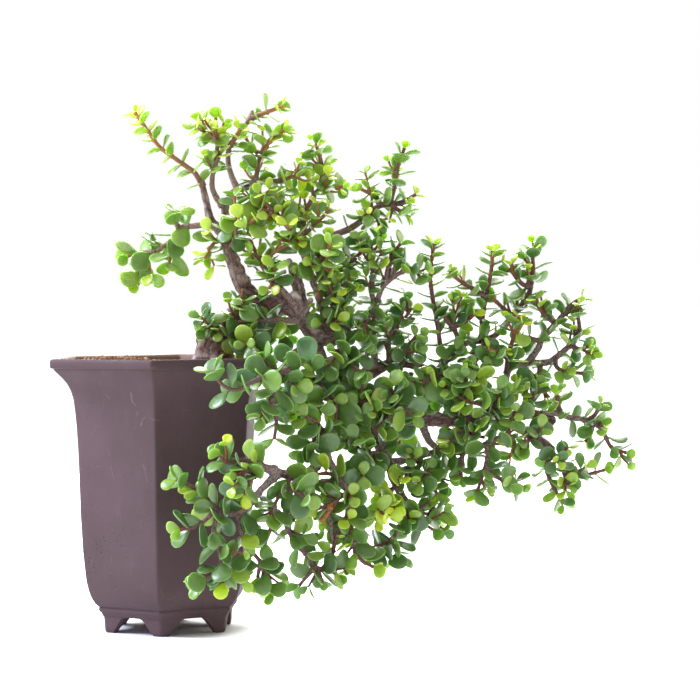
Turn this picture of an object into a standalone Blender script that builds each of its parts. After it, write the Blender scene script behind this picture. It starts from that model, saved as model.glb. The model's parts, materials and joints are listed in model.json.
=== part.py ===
"""Elephant bush (Portulacaria afra) trained as a cascade bonsai in a tall hexagonal clay pot.

The pot, the soil, the old wood and every branch are separate closed solids. A branch is one
grown piece: its own woody limb, its twigs and its leaves in crossed pairs. Lengths typed here are
in millimetres, from the middle of the pot's foot: +X right, +Y back, +Z up. Meshes are in metres.
"""

import math

import bmesh
import bpy
from mathutils import Matrix, Vector
from mathutils.bvhtree import BVHTree
from mathutils.geometry import intersect_point_line

MM = 0.001

# The pot: a hexagon standing corner forward, turned a little to the left.
POT_SIDES = 6
POT_TURN = math.radians(-92.7)
POT_CORNER = math.radians(120)
# Circumradius and height around the wall: up the outside, over the lip, and down the inside.
POT_WALL_OUTSIDE = [
    (63, 15), (67, 18), (68, 24), (75, 33), (80, 46), (83, 67), (86, 100), (87, 130),
    (88, 165), (90, 195), (92, 214), (96, 225), (103, 233), (111, 240), (114, 244), (114, 250),
]
POT_WALL_INSIDE = [
    (107, 250), (106, 241), (96, 232), (87, 214), (82, 165), (79, 67), (68, 34), (62, 28),
]
DRAIN_RADIUS, DRAIN_BOTTOM, DRAIN_TOP = 8, 5, 40
# Each foot is a kite in plan: its corner, its reach along both walls and its heel, then its height.
FOOT_BOTTOM = (61, 10, 46, 0)
FOOT_TOP = (62.5, 16, 40, 17)

# The soil: a plug that fills the pot and mounds up a little below the lip.
SOIL_GAP = 0.5
SOIL_EDGE = 241
SOIL_RINGS = [(0.78, 243), (0.42, 244), (0.16, 244)]
ROOT_GAP = 0.5

# The seat that each branch keeps off the wood it grows from, and the clearance between leaves.
SEAT_GAP = 0.35
LEAF_CLEARANCE = 1.12

# Wood sections and leaf proportions.
SMOOTH_ANGLE = math.radians(50)
TRUNK_SIDES = 8
LIMB_SIDES = 6
TWIG_RADIUS, TWIG_TIP_RADIUS = 1.7, 1.1
NODE_LENGTH = 2.0
PAIR_SPACING = 21
LEAF_WIDTH, LEAF_THICKNESS = 0.78, 2.1
LEAF_BELLY, LEAF_END, LEAF_END_WIDTH = 0.5, 0.94, 0.42
LEAF_RISE = math.radians(22)
SHOOT_ROLL = math.radians(137.5)


def limb(first_radius, last_radius, *points):
    """A woody limb: its radius runs evenly from its first point to its last; it bears no leaves."""
    return {"points": points, "radii": (first_radius, last_radius), "leafy": False}


def twig(*points):
    """A leafy twig. The first point lies on or in the wood that bears it."""
    return {"points": points, "radii": (TWIG_RADIUS, TWIG_TIP_RADIUS), "leafy": True}


# The old wood, grown as one piece. Each point is (x, y, z, radius).
TRUNK = [
    (40, 0, 222, 15), (41, 0, 240, 15), (43, 0, 254, 17), (51, -2, 267, 15.5), (62, -4, 280, 14),
    (76, -5, 292, 12.8), (91, -6, 298, 11.8), (108, -8, 298, 9.8), (119, -9, 292, 8), (128, -9, 280, 7),
    (135, -9, 267, 6.6), (140, -9, 254, 6), (145, -9, 243, 5.4), (151, -8, 233, 5.2),
    (158, -7, 221, 5.2), (169, -5, 205, 5.2), (182, -5, 195, 5.2), (199, -4, 193, 5.2),
    (217, -2, 191, 5.6), (235, -1, 190, 6), (260, 1, 189, 6), (285, 2, 189, 5.6), (310, 4, 191, 4.8),
    (331, 6, 195, 4.8), (344, 6, 192, 5), (357, 6, 187, 4.7),
]
ROOT_POINTS = 3
LIMBS = {
    "leader": [
        (89, -6, 299, 8.6), (73, -7, 311, 7), (66, -8, 325, 6.3), (61, -8, 341, 6), (56, -8, 357, 5.7),
        (50, -8, 367, 5.2), (43, -9, 373, 4.4),
    ],
    "crown_left_limb": [
        (45, -9, 370, 4.4), (41, -9, 381, 3.8), (39, -9, 390, 3.4), (37, -10, 399, 3.2),
        (35, -10, 411, 2.9),
    ],
    "crown_limb": [
        (54, -8, 362, 4.6), (55, -3, 378, 4), (56, 0, 391, 3.6), (63, 2, 401, 3.4), (80, 2, 407, 3.3),
    ],
    "knob_limb": [
        (131, -9, 272, 6.4), (143, -7, 270, 8.4), (153, -4, 269, 7.8), (161, 0, 270, 5.4),
        (172, 4, 272, 3.6), (183, 6, 271, 3.1),
    ],
    "rising_limb": [
        (147, -8, 276, 4.6), (145, -11, 292, 3.8), (139, -13, 309, 3.5), (134, -13, 325, 3.3),
        (132, -14, 342, 3.1),
    ],
    "rough_limb": [
        (157, -7, 224, 5), (165, -5, 225, 5.4), (174, -1, 229, 6), (183, 3, 232, 6.4),
        (192, 6, 236, 6.4), (201, 9, 240, 5.4), (210, 11, 241, 4.3), (223, 14, 241, 4), (236, 16, 238, 4),
        (250, 18, 234, 4.3), (259, 20, 246, 3.9), (268, 22, 255, 3.7), (280, 23, 261, 3.4),
        (292, 24, 262, 3.1), (303, 25, 266, 3), (312, 26, 274, 2.9),
    ],
    "near_riser": [
        (235, 1, 191, 4), (236, 3, 199, 2.9), (236, 5, 211, 2.7), (240, 9, 223, 2.6), (246, 15, 232, 2.4),
    ],
    "slant_riser": [
        (200, -2, 195, 3.2), (208, 2, 206, 2.8), (215, 6, 215, 2.8), (221, 9, 223, 2.7),
        (226, 13, 233, 2.6),
    ],
    "grey_fork": [
        (306, 5, 192, 4.2), (310, 9, 208, 3.2), (313, 13, 225, 3.1), (317, 17, 236, 3.4),
        (327, 19, 240, 3.5), (341, 20, 240, 3.4),
    ],
    "lower_right_limb": [
        (303, 4, 190, 4.2), (318, 0, 186, 4.3), (332, -3, 177, 4.6), (343, -4, 170, 4.6),
        (355, -5, 161, 4.5),
    ],
    "cascade_limb": [
        (173, -6, 201, 5.2), (184, -12, 187, 5.4), (195, -20, 168, 5.2), (203, -26, 153, 4.8),
        (207, -31, 140, 4.2), (213, -36, 127, 4), (219, -40, 117, 3.6),
    ],
    "lower_left_limb": [
        (148, -8, 237, 5), (156, -28, 212, 4.8), (155, -48, 189, 4.6), (146, -72, 163, 4.5),
        (130, -92, 148, 4.4), (115, -106, 148, 4.4), (100, -118, 152, 4),
    ],
    "high_stub": [(123, -10, 289, 4.6), (130, -14, 296, 4), (136, -17, 301, 3.2)],
    "front_stub": [(136, -10, 259, 5.4), (125, -15, 255, 5), (115, -19, 250, 4.2)],
}

# The branches: a name, the length of its leaves, and its wood and twigs from the base out.
BRANCHES = [
    # The crown over the pot.
    ("crown_left_branch", 13, [
        twig(
            (36, -10, 406), (28, -11, 419), (20, -12, 425), (9, -12, 433), (-4, -11, 443),
            (-14, -10, 457), (-20, -9, 470),
        ),
    ]),
    ("crown_tall_branch", 14, [
        limb(2.7, 1.8, (53, -1, 388), (45, -4, 401), (44, -7, 414), (48, -10, 430), (50, -12, 454)),
        twig((49, -12, 450), (48, -12, 468)),
        twig((48, -12, 448), (39, -17, 457), (30, -20, 461)),
        twig((47, -10, 430), (53, 0, 440), (57, 6, 447)),
    ]),
    ("crown_top_branch", 13, [
        limb(2.7, 1.8, (67, 2, 403), (60, 6, 420), (58, 8, 436), (64, 9, 451), (81, 10, 471)),
        twig((80, 10, 470), (97, 8, 476), (109, 6, 480)),
        twig((62, 9, 444), (70, -6, 458)),
    ]),
    ("crown_right_branch", 13, [
        limb(3, 2.1, (78, 2, 407), (94, 2, 410), (108, 2, 412)),
        twig((105, 2, 411), (118, 0, 415), (128, -2, 417)),
        twig((84, 3, 408), (85, 13, 424), (90, 16, 442), (100, 14, 453), (110, 10, 458)),
        twig((87, 15, 436), (79, 22, 444), (74, 25, 452)),
        twig((86, 0, 407), (89, -12, 394), (99, -17, 374)),
        twig((100, 3, 410), (106, 17, 397), (117, 26, 376)),
    ]),
    ("crown_front_branch", 15, [
        twig((60, -12, 350), (65, -24, 358), (67, -30, 376), (65, -30, 396)),
        twig((66, -29, 370), (77, -37, 371), (85, -42, 376)),
    ]),
    ("leader_branch", 15, [twig((59, -10, 350), (50, -20, 356), (42, -25, 349), (38, -27, 340))]),
    ("left_branch", 17, [
        limb(3, 2.2,
            (52, -10, 366), (40, -12, 371), (28, -13, 370), (16, -13, 369), (12, -13, 365),
            (7, -14, 358), (1, -15, 352),
        ),
        twig((1, -15, 352), (-8, -16, 346), (-28, -17, 333)),
        twig((8, -14, 359), (8, -21, 346), (5, -24, 337)),
        twig((14, -13, 367), (11, -12, 377), (12, -14, 388)),
    ]),
    ("diagonal_branch", 17, [
        limb(5, 2.6, (126, -11, 286), (118, -20, 298), (107, -23, 311), (97, -23, 321), (87, -22, 341)),
        twig((88, -22, 339), (81, -22, 351), (78, -23, 362)),
        twig((91, -20, 334), (99, -30, 343), (107, -34, 353)),
        twig((99, -20, 321), (91, -28, 316), (84, -30, 311)),
    ]),
    # Short shoots on the trunk.
    ("trunk_left_branch", 16, [
        twig((72, -8, 288), (64, -22, 286), (53, -26, 280), (37, -28, 276)),
        twig((62, -22, 285), (69, -31, 296), (73, -33, 302)),
    ]),
    ("trunk_front_branch", 19, [twig((74, -10, 287), (79, -24, 273), (83, -32, 255))]),
    ("trunk_twig_branch", 16, [
        limb(2.9, 2.4, (123, -12, 283), (112, -21, 283), (100, -25, 284), (86, -26, 284)),
        twig((87, -26, 284), (76, -27, 283), (65, -29, 281), (58, -33, 277)),
    ]),
    # The upper right.
    ("upper_middle_branch", 12, [
        limb(3.2, 1.9,
            (133, -12, 329), (127, 0, 344), (126, 6, 362), (128, 10, 380), (137, 14, 398),
            (144, 15, 408), (145, 15, 422),
        ),
        twig((145, 15, 420), (143, 14, 433), (140, 13, 443)),
        twig((142, 15, 405), (153, 11, 405), (164, 7, 406)),
        twig((127, 4, 362), (134, -4, 367), (152, -11, 384)),
        twig((127, 9, 373), (120, 20, 383), (115, 25, 394)),
        twig((128, 2, 357), (136, 14, 353), (143, 22, 346)),
    ]),
    ("right_upper_branch", 13, [
        limb(3.8, 2.3,
            (132, -13, 337), (143, -6, 349), (154, 4, 360), (168, 9, 366), (182, 11, 375),
            (198, 12, 388), (218, 13, 390),
        ),
        twig((207, 13, 389), (212, 15, 407), (215, 15, 424), (221, 14, 441)),
        twig((217, 13, 390), (231, 12, 398)),
        twig((198, 12, 388), (194, 10, 397), (176, 6, 408)),
        twig((208, 13, 389), (214, 6, 384), (222, 3, 380)),
        twig((190, 11, 382), (195, 2, 376), (197, -4, 368)),
    ]),
    ("rising_branch", 15, [
        limb(3, 2.2, (132, -14, 341), (124, -16, 356), (113, -18, 369), (102, -20, 382)),
        twig((103, -20, 380), (95, -24, 388), (84, -29, 390), (75, -32, 384)),
        twig((124, -16, 356), (116, -28, 356), (107, -37, 356)),
    ]),
    ("rising_right_branch", 16, [
        twig((133, -14, 334), (142, -24, 334), (153, -30, 329)),
        twig((140, -22, 334), (146, -32, 343), (152, -37, 351)),
    ]),
    ("middle_branch", 15, [
        limb(3.2, 2,
            (141, -3, 274), (144, 0, 286), (147, 3, 298), (152, 6, 312), (160, 8, 329),
            (172, 9, 336),
        ),
        twig((170, 9, 335), (177, 4, 342), (184, 0, 349)),
        twig((147, 3, 301), (157, -12, 301), (165, -22, 296)),
        twig((153, 7, 314), (159, 18, 321), (166, 27, 327)),
    ]),
    ("centre_branch", 15, [
        limb(3.2, 2.2,
            (192, 6, 238), (191, 4, 259), (192, 0, 278), (192, -3, 294), (189, -6, 312),
            (191, -8, 330),
        ),
        limb(2.5, 2, (192, -2, 290), (198, -7, 310), (207, -10, 320), (218, -12, 327)),
        twig((191, -8, 328), (190, -10, 340), (189, -10, 350)),
        twig((217, -12, 326), (226, -13, 330), (233, -13, 323)),
        twig((202, -9, 315), (204, -12, 329), (208, -12, 342), (216, -12, 352)),
        twig((192, -3, 290), (185, -15, 283), (179, -23, 275)),
    ]),
    # The rough limb and the sprays it carries.
    ("rough_up_branch", 14, [
        twig((204, 9, 238), (205, 0, 256), (208, -4, 272), (218, -6, 282), (226, -8, 293)),
    ]),
    ("rough_front_branch", 19, [
        twig((157, -4, 266), (160, -24, 254), (155, -38, 249), (150, -47, 243)),
        twig((160, -24, 254), (169, -38, 245), (175, -46, 236)),
    ]),
    ("rough_top_branch", 17, [twig((171, 3, 272), (170, -10, 273), (164, -20, 277), (156, -27, 286))]),
    ("rough_right_branch", 15, [twig((217, 12, 241), (218, 0, 250), (222, -8, 258), (229, -14, 267))]),
    ("trunk_right_branch", 20, [
        twig((151, -8, 235), (143, -32, 231), (131, -46, 227), (121, -53, 218)),
        twig((140, -36, 230), (143, -50, 222), (140, -56, 211)),
    ]),
    ("rough_bend_branch", 17, [
        twig((256, 18, 241), (256, 4, 234), (256, -4, 225), (261, -10, 214)),
        twig((256, 3, 233), (244, -12, 229), (233, -21, 224)),
    ]),
    ("first_upright", 13, [
        twig(
            (257, 19, 243), (253, 12, 257), (250, 8, 278), (246, 6, 301), (244, 6, 322),
            (247, 6, 352),
        ),
    ]),
    ("second_upright", 14, [
        twig((273, 21, 256), (268, 15, 268), (265, 14, 278), (269, 14, 290), (272, 14, 303)),
        twig((266, 15, 274), (257, 10, 285), (252, 8, 294)),
        twig((266, 15, 276), (277, 8, 281), (284, 3, 287)),
    ]),
    ("third_upright", 13, [
        twig((292, 24, 264), (292, 19, 279), (295, 16, 300), (300, 14, 324), (302, 14, 345)),
        twig((296, 16, 303), (282, 9, 311), (271, 6, 318), (262, 4, 326)),
    ]),
    ("rough_end_branch", 13, [
        limb(2.8, 2.3, (311, 26, 273), (322, 27, 286), (330, 28, 296), (336, 28, 302)),
        twig((335, 28, 301), (338, 26, 312), (340, 22, 332), (340, 20, 352)),
        twig((338, 26, 311), (329, 18, 315), (321, 13, 324), (319, 11, 333)),
        twig((319, 27, 286), (313, 19, 291), (301, 12, 302)),
    ]),
    ("rough_under_branch", 15, [twig((293, 24, 262), (294, 12, 254), (288, 6, 247), (280, 0, 238))]),
    # The grey fork on the right.
    ("orange_upright", 14, [
        twig((314, 14, 230), (314, 7, 240), (316, 4, 252), (320, 2, 266), (325, 1, 284)),
        twig((315, 5, 247), (305, -7, 252), (296, -11, 255)),
    ]),
    ("fork_outer_branch", 14, [
        limb(3.2, 2.4, (338, 20, 240), (354, 21, 242), (364, 21, 249), (373, 20, 257), (383, 19, 268)),
        twig((382, 19, 266), (382, 18, 277), (379, 17, 291)),
        twig((374, 20, 258), (381, 14, 254), (390, 9, 256)),
        twig((358, 21, 246), (361, 14, 237), (369, 12, 233), (390, 8, 231)),
        twig((346, 20, 240), (344, 11, 230), (346, 4, 221), (349, -1, 210)),
        twig((343, 12, 231), (334, 1, 223), (324, -6, 215)),
    ]),
    ("fork_inner_branch", 14, [
        limb(3.2, 2.2,
            (331, 20, 238), (339, 22, 247), (345, 22, 256), (348, 22, 264), (357, 23, 274),
            (366, 23, 284), (373, 23, 292),
        ),
        twig((372, 23, 290), (378, 20, 297), (385, 18, 301)),
        twig((360, 23, 279), (352, 14, 283), (345, 10, 291), (342, 8, 300)),
        twig((347, 22, 261), (338, 14, 264), (328, 9, 267)),
    ]),
    # The long horizontal limb.
    ("main_riser_branch", 16, [
        twig((271, 1, 191), (271, -8, 203), (277, -12, 212), (286, -14, 222), (288, -16, 234)),
        twig((279, -12, 215), (272, -22, 224), (268, -27, 232)),
    ]),
    ("main_front_branch", 18, [
        twig((298, 1, 190), (298, -12, 198), (302, -20, 207), (310, -25, 215)),
        twig((298, -12, 198), (289, -24, 205), (280, -31, 207)),
    ]),
    ("main_under_branch", 17, [
        twig((279, 0, 188), (278, -10, 181), (282, -18, 176), (291, -23, 175)),
        twig((278, -10, 181), (269, -22, 179), (260, -29, 172)),
    ]),
    ("main_outer_branch", 16, [
        twig((329, 5, 195), (331, -4, 203), (337, -8, 212), (342, -11, 220)),
        twig((331, -4, 203), (322, -14, 199), (314, -21, 191)),
    ]),
    ("right_end_branch", 15, [
        limb(3.3, 2.2, (345, 6, 193), (359, 8, 195), (371, 8, 191), (384, 7, 189), (400, 6, 185)),
        twig((399, 6, 185), (404, 4, 174), (410, 4, 163), (423, 2, 158)),
        twig((389, 7, 187), (395, 2, 194), (400, 0, 203)),
        twig((364, 8, 195), (361, 3, 203), (359, 1, 212)),
        twig((393, 6, 186), (392, 13, 176), (387, 15, 168)),
    ]),
    ("lower_right_branch", 17, [
        limb(3.2, 2.4, (350, -5, 164), (358, -6, 154), (366, -7, 146), (377, -8, 137)),
        twig((376, -8, 137), (387, -8, 139), (402, -8, 143)),
        twig((354, -6, 157), (348, -14, 147), (350, -15, 137), (358, -17, 120)),
        twig((360, -7, 150), (364, -13, 158), (367, -17, 165)),
        twig((368, -7, 143), (365, -13, 134), (365, -17, 125)),
    ]),
    ("lower_right_inner_branch", 17, [twig((334, -4, 172), (332, -16, 171), (323, -24, 167))]),
    ("under_branch", 16, [
        limb(3.3, 2.3,
            (235, -1, 187), (238, -7, 178), (242, -12, 170), (250, -17, 164), (265, -20, 161),
            (281, -22, 164), (301, -25, 173),
        ),
        twig((300, -25, 172), (308, -26, 176), (314, -27, 182)),
        twig((293, -24, 168), (293, -34, 158), (289, -39, 143), (282, -41, 123)),
        twig((291, -38, 148), (302, -40, 139), (324, -40, 131)),
        twig((271, -21, 162), (270, -32, 152), (268, -39, 140)),
    ]),
    # The hanging limb in the middle.
    ("cascade_side_branch", 17, [
        limb(3.3, 2.4, (205, -25, 152), (216, -24, 154), (228, -23, 156), (240, -20, 160)),
        twig((239, -20, 160), (251, -22, 163), (259, -25, 157)),
        twig((231, -22, 157), (236, -32, 149), (241, -37, 139), (247, -39, 125)),
        twig((222, -24, 158), (221, -38, 148), (217, -45, 137)),
    ]),
    ("centre_left_branch", 21, [
        twig((157, -8, 222), (149, -34, 218), (140, -52, 210), (131, -61, 200)),
        twig((149, -34, 218), (156, -52, 208), (156, -61, 194)),
    ]),
    ("centre_low_left_branch", 20, [
        twig((154, -52, 185), (145, -68, 183), (136, -79, 176), (127, -83, 167)),
        twig((145, -68, 183), (139, -85, 193), (130, -93, 198)),
    ]),
    ("centre_middle_branch", 20, [
        twig((171, -6, 204), (169, -28, 199), (171, -44, 189), (178, -55, 176)),
        twig((169, -28, 199), (178, -44, 207), (187, -53, 212)),
    ]),
    ("centre_right_branch", 18, [
        twig((205, -3, 191), (206, -22, 199), (209, -34, 210), (206, -41, 222)),
        twig((206, -22, 199), (198, -38, 192), (192, -47, 184)),
        twig((208, -30, 205), (217, -42, 203), (226, -49, 197)),
    ]),
    ("cascade_front_branch", 20, [
        twig((198, -22, 162), (188, -42, 162), (179, -56, 154), (171, -65, 141)),
        twig((187, -43, 161), (174, -58, 170), (164, -67, 175)),
    ]),
    ("cascade_end_branch", 17, [
        limb(3.2, 2.2, (218, -39, 119), (221, -41, 110)),
        twig((220, -41, 112), (225, -40, 105), (233, -38, 96), (242, -36, 86)),
        twig((222, -41, 109), (237, -30, 106), (249, -26, 101)),
        twig((220, -41, 111), (213, -48, 99), (207, -52, 84), (211, -51, 70), (212, -50, 58)),
        twig((208, -51, 87), (198, -54, 79), (191, -55, 69)),
    ]),
    ("cascade_rosette_branch", 18, [
        twig((210, -34, 132), (203, -54, 127), (196, -70, 119), (191, -81, 106)),
    ]),
    # The sprays that fall in front of the pot.
    ("rim_branch", 20, [
        limb(3.6, 2.5,
            (144, -10, 246), (138, -36, 251), (122, -68, 245), (110, -98, 239), (92, -116, 234),
        ),
        twig((93, -115, 234), (84, -124, 231), (70, -131, 224), (58, -135, 229), (50, -136, 241)),
        twig((111, -97, 239), (106, -108, 229), (99, -115, 215), (91, -119, 203)),
        twig((123, -68, 245), (121, -84, 232), (114, -93, 216), (107, -97, 200)),
        twig((100, -114, 216), (104, -112, 197), (102, -109, 180)),
    ]),
    ("lower_left_tip_branch", 17, [
        limb(4, 2.3, (102, -116, 152), (93, -121, 156), (86, -124, 160)),
        twig((86, -124, 160), (74, -131, 163), (63, -136, 161), (55, -138, 168)),
        twig((93, -121, 156), (88, -131, 150), (81, -139, 145), (77, -143, 134)),
        twig((88, -130, 150), (78, -142, 154), (70, -147, 152)),
    ]),
    ("lower_left_right_branch", 19, [
        twig((117, -104, 147), (111, -119, 138), (104, -128, 127), (99, -131, 115)),
        twig((111, -118, 138), (121, -130, 136), (129, -137, 130)),
        twig((102, -129, 123), (100, -128, 107), (94, -126, 90)),
    ]),
    ("front_fall_branch", 18, [
        limb(3.5, 2.1,
            (104, -115, 149), (90, -126, 136), (78, -130, 121), (65, -133, 116), (50, -134, 123),
            (38, -134, 135),
        ),
        twig((39, -134, 134), (29, -136, 142), (18, -139, 147)),
        twig((52, -134, 121), (43, -140, 112), (33, -143, 106), (21, -146, 104)),
        twig((56, -134, 118), (50, -138, 106), (53, -139, 89), (57, -139, 72), (57, -139, 57)),
        twig((70, -132, 117), (72, -134, 104), (79, -133, 88), (93, -131, 69), (100, -131, 48)),
        twig((56, -139, 71), (45, -142, 63), (35, -145, 57)),
        twig((58, -139, 68), (67, -135, 63), (75, -132, 59)),
        twig((90, -132, 73), (88, -126, 60), (88, -124, 48)),
    ]),
    ("lower_middle_branch", 18, [
        limb(3.4, 2.5, (126, -94, 148), (114, -104, 130), (112, -106, 106), (120, -104, 88), (129, -104, 78)),
        twig((128, -104, 79), (134, -104, 72), (140, -104, 62), (143, -104, 46)),
        twig((138, -104, 67), (130, -108, 59), (123, -109, 51)),
        twig((139, -104, 65), (150, -100, 60), (157, -98, 52)),
        twig((113, -105, 108), (121, -116, 121), (131, -123, 130)),
    ]),
    ("lower_centre_branch", 18, [
        limb(3.6, 2.8,
            (146, -72, 163), (157, -82, 145), (166, -87, 130), (167, -90, 107), (173, -90, 78),
        ),
        twig((166, -87, 130), (159, -100, 127), (150, -108, 122), (139, -113, 118)),
        twig((167, -90, 110), (159, -98, 100), (154, -99, 86), (152, -98, 74)),
        twig((173, -90, 79), (178, -88, 70), (188, -86, 64)),
        twig((158, -83, 142), (149, -94, 148), (139, -103, 148)),
    ]),
    # Sprays on the side away from the front.
    ("rear_low_branch", 17, [
        twig((211, -2, 191), (213, 20, 191), (215, 36, 179), (217, 47, 164)),
        twig((213, 20, 191), (204, 38, 185), (196, 49, 174)),
    ]),
    ("rear_high_branch", 17, [
        twig((182, 4, 234), (185, 24, 254), (190, 40, 273), (197, 49, 285)),
        twig((185, 26, 256), (175, 42, 267), (166, 53, 276)),
    ]),
    ("rear_right_branch", 16, [
        twig((263, 0, 190), (265, 22, 205), (270, 38, 216), (275, 47, 228)),
        twig((265, 22, 205), (257, 38, 203), (249, 49, 196)),
        twig((266, 26, 208), (279, 40, 204), (290, 49, 197)),
    ]),
    ("rear_left_branch", 17, [
        twig((98, -5, 300), (93, 22, 285), (87, 36, 275), (87, 47, 261)),
        twig((93, 22, 285), (100, 38, 277), (108, 51, 265)),
    ]),
]


def clear_scene():
    for thing in list(bpy.data.objects):
        bpy.data.objects.remove(thing, do_unlink=True)


def material(name, colour, roughness):
    made = bpy.data.materials.new(name)
    made.use_nodes = True
    shader = made.node_tree.nodes["Principled BSDF"]
    shader.inputs["Base Color"].default_value = (*colour, 1)
    shader.inputs["Roughness"].default_value = roughness
    shader.inputs["Metallic"].default_value = 0
    return made


def put_in_scene(name, shape, finish):
    """Turns a bmesh in millimetres into a named object in metres."""
    bmesh.ops.scale(shape, vec=(MM, MM, MM), verts=shape.verts)
    bmesh.ops.recalc_face_normals(shape, faces=shape.faces)
    mesh = bpy.data.meshes.new(name)
    shape.to_mesh(mesh)
    shape.free()
    mesh.shade_smooth()
    mesh.set_sharp_from_angle(angle=SMOOTH_ANGLE)
    mesh.materials.append(finish)
    made = bpy.data.objects.new(name, mesh)
    bpy.context.scene.collection.objects.link(made)
    return made


def evaluated_copy(thing):
    bpy.context.view_layer.update()
    graph = bpy.context.evaluated_depsgraph_get()
    return bpy.data.meshes.new_from_object(thing.evaluated_get(graph))


def combine(body, others, operation):
    """Joins the other solids to the body, or cuts them out of it, and removes them."""
    if not others:
        return body
    operands = bpy.data.collections.new(body.name + "_operands")
    bpy.context.scene.collection.children.link(operands)
    for other in others:
        operands.objects.link(other)
    modifier = body.modifiers.new("combine", "BOOLEAN")
    modifier.operation = operation
    modifier.operand_type = "COLLECTION"
    modifier.collection = operands
    modifier.solver = "EXACT"
    body.data = evaluated_copy(body)
    body.modifiers.clear()
    for other in others:
        bpy.data.objects.remove(other, do_unlink=True)
    bpy.data.collections.remove(operands)
    return body


def hexagon(radius, height):
    corners = (POT_TURN + math.tau * k / POT_SIDES for k in range(POT_SIDES))
    return [(radius * math.cos(a), radius * math.sin(a), height) for a in corners]


def loft(shape, sections, cap_start=True, cap_end=True):
    """Skins closed sections of equal point counts, first to last. Gives the rings of vertices."""
    rings = [[shape.verts.new(point) for point in section] for section in sections]
    for lower, upper in zip(rings, rings[1:]):
        for k in range(len(lower)):
            after = (k + 1) % len(lower)
            shape.faces.new((lower[k], lower[after], upper[after], upper[k]))
    if cap_start:
        shape.faces.new(reversed(rings[0]))
    if cap_end:
        shape.faces.new(rings[-1])
    return rings


def pot_foot(corner):
    """A tapered foot under one corner of the pot, kite shaped in plan."""
    angle = POT_TURN + math.tau * corner / POT_SIDES
    outward, along_wall, along_next = (
        Vector((math.cos(a), math.sin(a), 0))
        for a in (angle, angle + POT_CORNER, angle - POT_CORNER)
    )

    def kite(point, reach, heel, height):
        tip = outward * point
        outline = (tip, tip + along_wall * reach, outward * heel, tip + along_next * reach)
        return [place + Vector((0, 0, height)) for place in outline]

    shape = bmesh.new()
    loft(shape, [kite(*FOOT_BOTTOM), kite(*FOOT_TOP)])
    return shape


def build_pot(finish):
    shape = bmesh.new()
    sections = [hexagon(radius, height) for radius, height in POT_WALL_OUTSIDE + POT_WALL_INSIDE]
    loft(shape, sections)
    pot = put_in_scene("pot", shape, finish)
    feet = [put_in_scene(f"foot_{k}", pot_foot(k), finish) for k in range(POT_SIDES)]
    combine(pot, feet, "UNION")
    drain = bmesh.new()
    bmesh.ops.create_cone(
        drain, cap_ends=True, segments=16, radius1=DRAIN_RADIUS, radius2=DRAIN_RADIUS,
        depth=DRAIN_TOP - DRAIN_BOTTOM,
        matrix=Matrix.Translation((0, 0, (DRAIN_TOP + DRAIN_BOTTOM) / 2)),
    )
    return combine(pot, [put_in_scene("drain", drain, finish)], "DIFFERENCE")


def inside_radius(height):
    """The circumradius of the pot's hollow at a height."""
    for (upper, top), (lower, bottom) in zip(POT_WALL_INSIDE, POT_WALL_INSIDE[1:]):
        if bottom <= height <= top:
            return lower + (upper - lower) * (height - bottom) / (top - bottom)
    return POT_WALL_INSIDE[0][0]


def tube(shape, route, sides, turn=0.0, facing=None):
    """A tube along (point, radius) stations, its first ring square to `facing` if that is given."""
    sections = []
    across = None
    for k, (point, radius) in enumerate(route):
        before = route[max(k - 1, 0)][0]
        after = route[min(k + 1, len(route) - 1)][0]
        along = (after - before).normalized()
        if across is None:
            seed = Vector((0, 1, 0)) if abs(along.y) < 0.8 else Vector((1, 0, 0))
            across = Matrix.Rotation(turn, 3, along) @ along.cross(seed).normalized()
        if facing is not None and k == 0:
            along = facing
        across = (across - along * across.dot(along)).normalized()
        aside = along.cross(across)
        sections.append([
            point + (across * math.cos(a) + aside * math.sin(a)) * radius
            for a in (math.tau * (j + 0.5) / sides for j in range(sides))
        ])
    return loft(shape, sections)


def stations(points):
    return [(Vector(point[:3]), point[3]) for point in points]


def build_soil(finish):
    """The plug of soil with its mounded top and the pocket that holds the root."""
    heights = [height for _, height in reversed(POT_WALL_INSIDE)]
    levels = [heights[0] + SOIL_GAP]
    levels += [height for height in heights[1:] if height < SOIL_EDGE] + [SOIL_EDGE]
    shape = bmesh.new()
    sections = [hexagon(inside_radius(level) - 2 * SOIL_GAP, level) for level in levels]
    rim = inside_radius(SOIL_EDGE)
    sections += [hexagon(rim * share, height) for share, height in SOIL_RINGS]
    loft(shape, sections)
    soil = put_in_scene("soil", shape, finish)
    route = [(point, radius + ROOT_GAP) for point, radius in stations(TRUNK[:ROOT_POINTS])]
    route[0] = (route[0][0] - Vector((0, 0, ROOT_GAP)), route[0][1])
    root = bmesh.new()
    tube(root, route, TRUNK_SIDES)
    return combine(soil, [put_in_scene("root_pocket", root, finish)], "DIFFERENCE")


def build_old_wood(finish):
    shape = bmesh.new()
    tube(shape, stations(TRUNK), TRUNK_SIDES)
    wood = put_in_scene("trunk_and_limbs", shape, finish)
    limbs = []
    for name, points in LIMBS.items():
        shape = bmesh.new()
        tube(shape, stations(points), LIMB_SIDES)
        limbs.append(put_in_scene(name, shape, finish))
    return combine(wood, limbs, "UNION")


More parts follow.
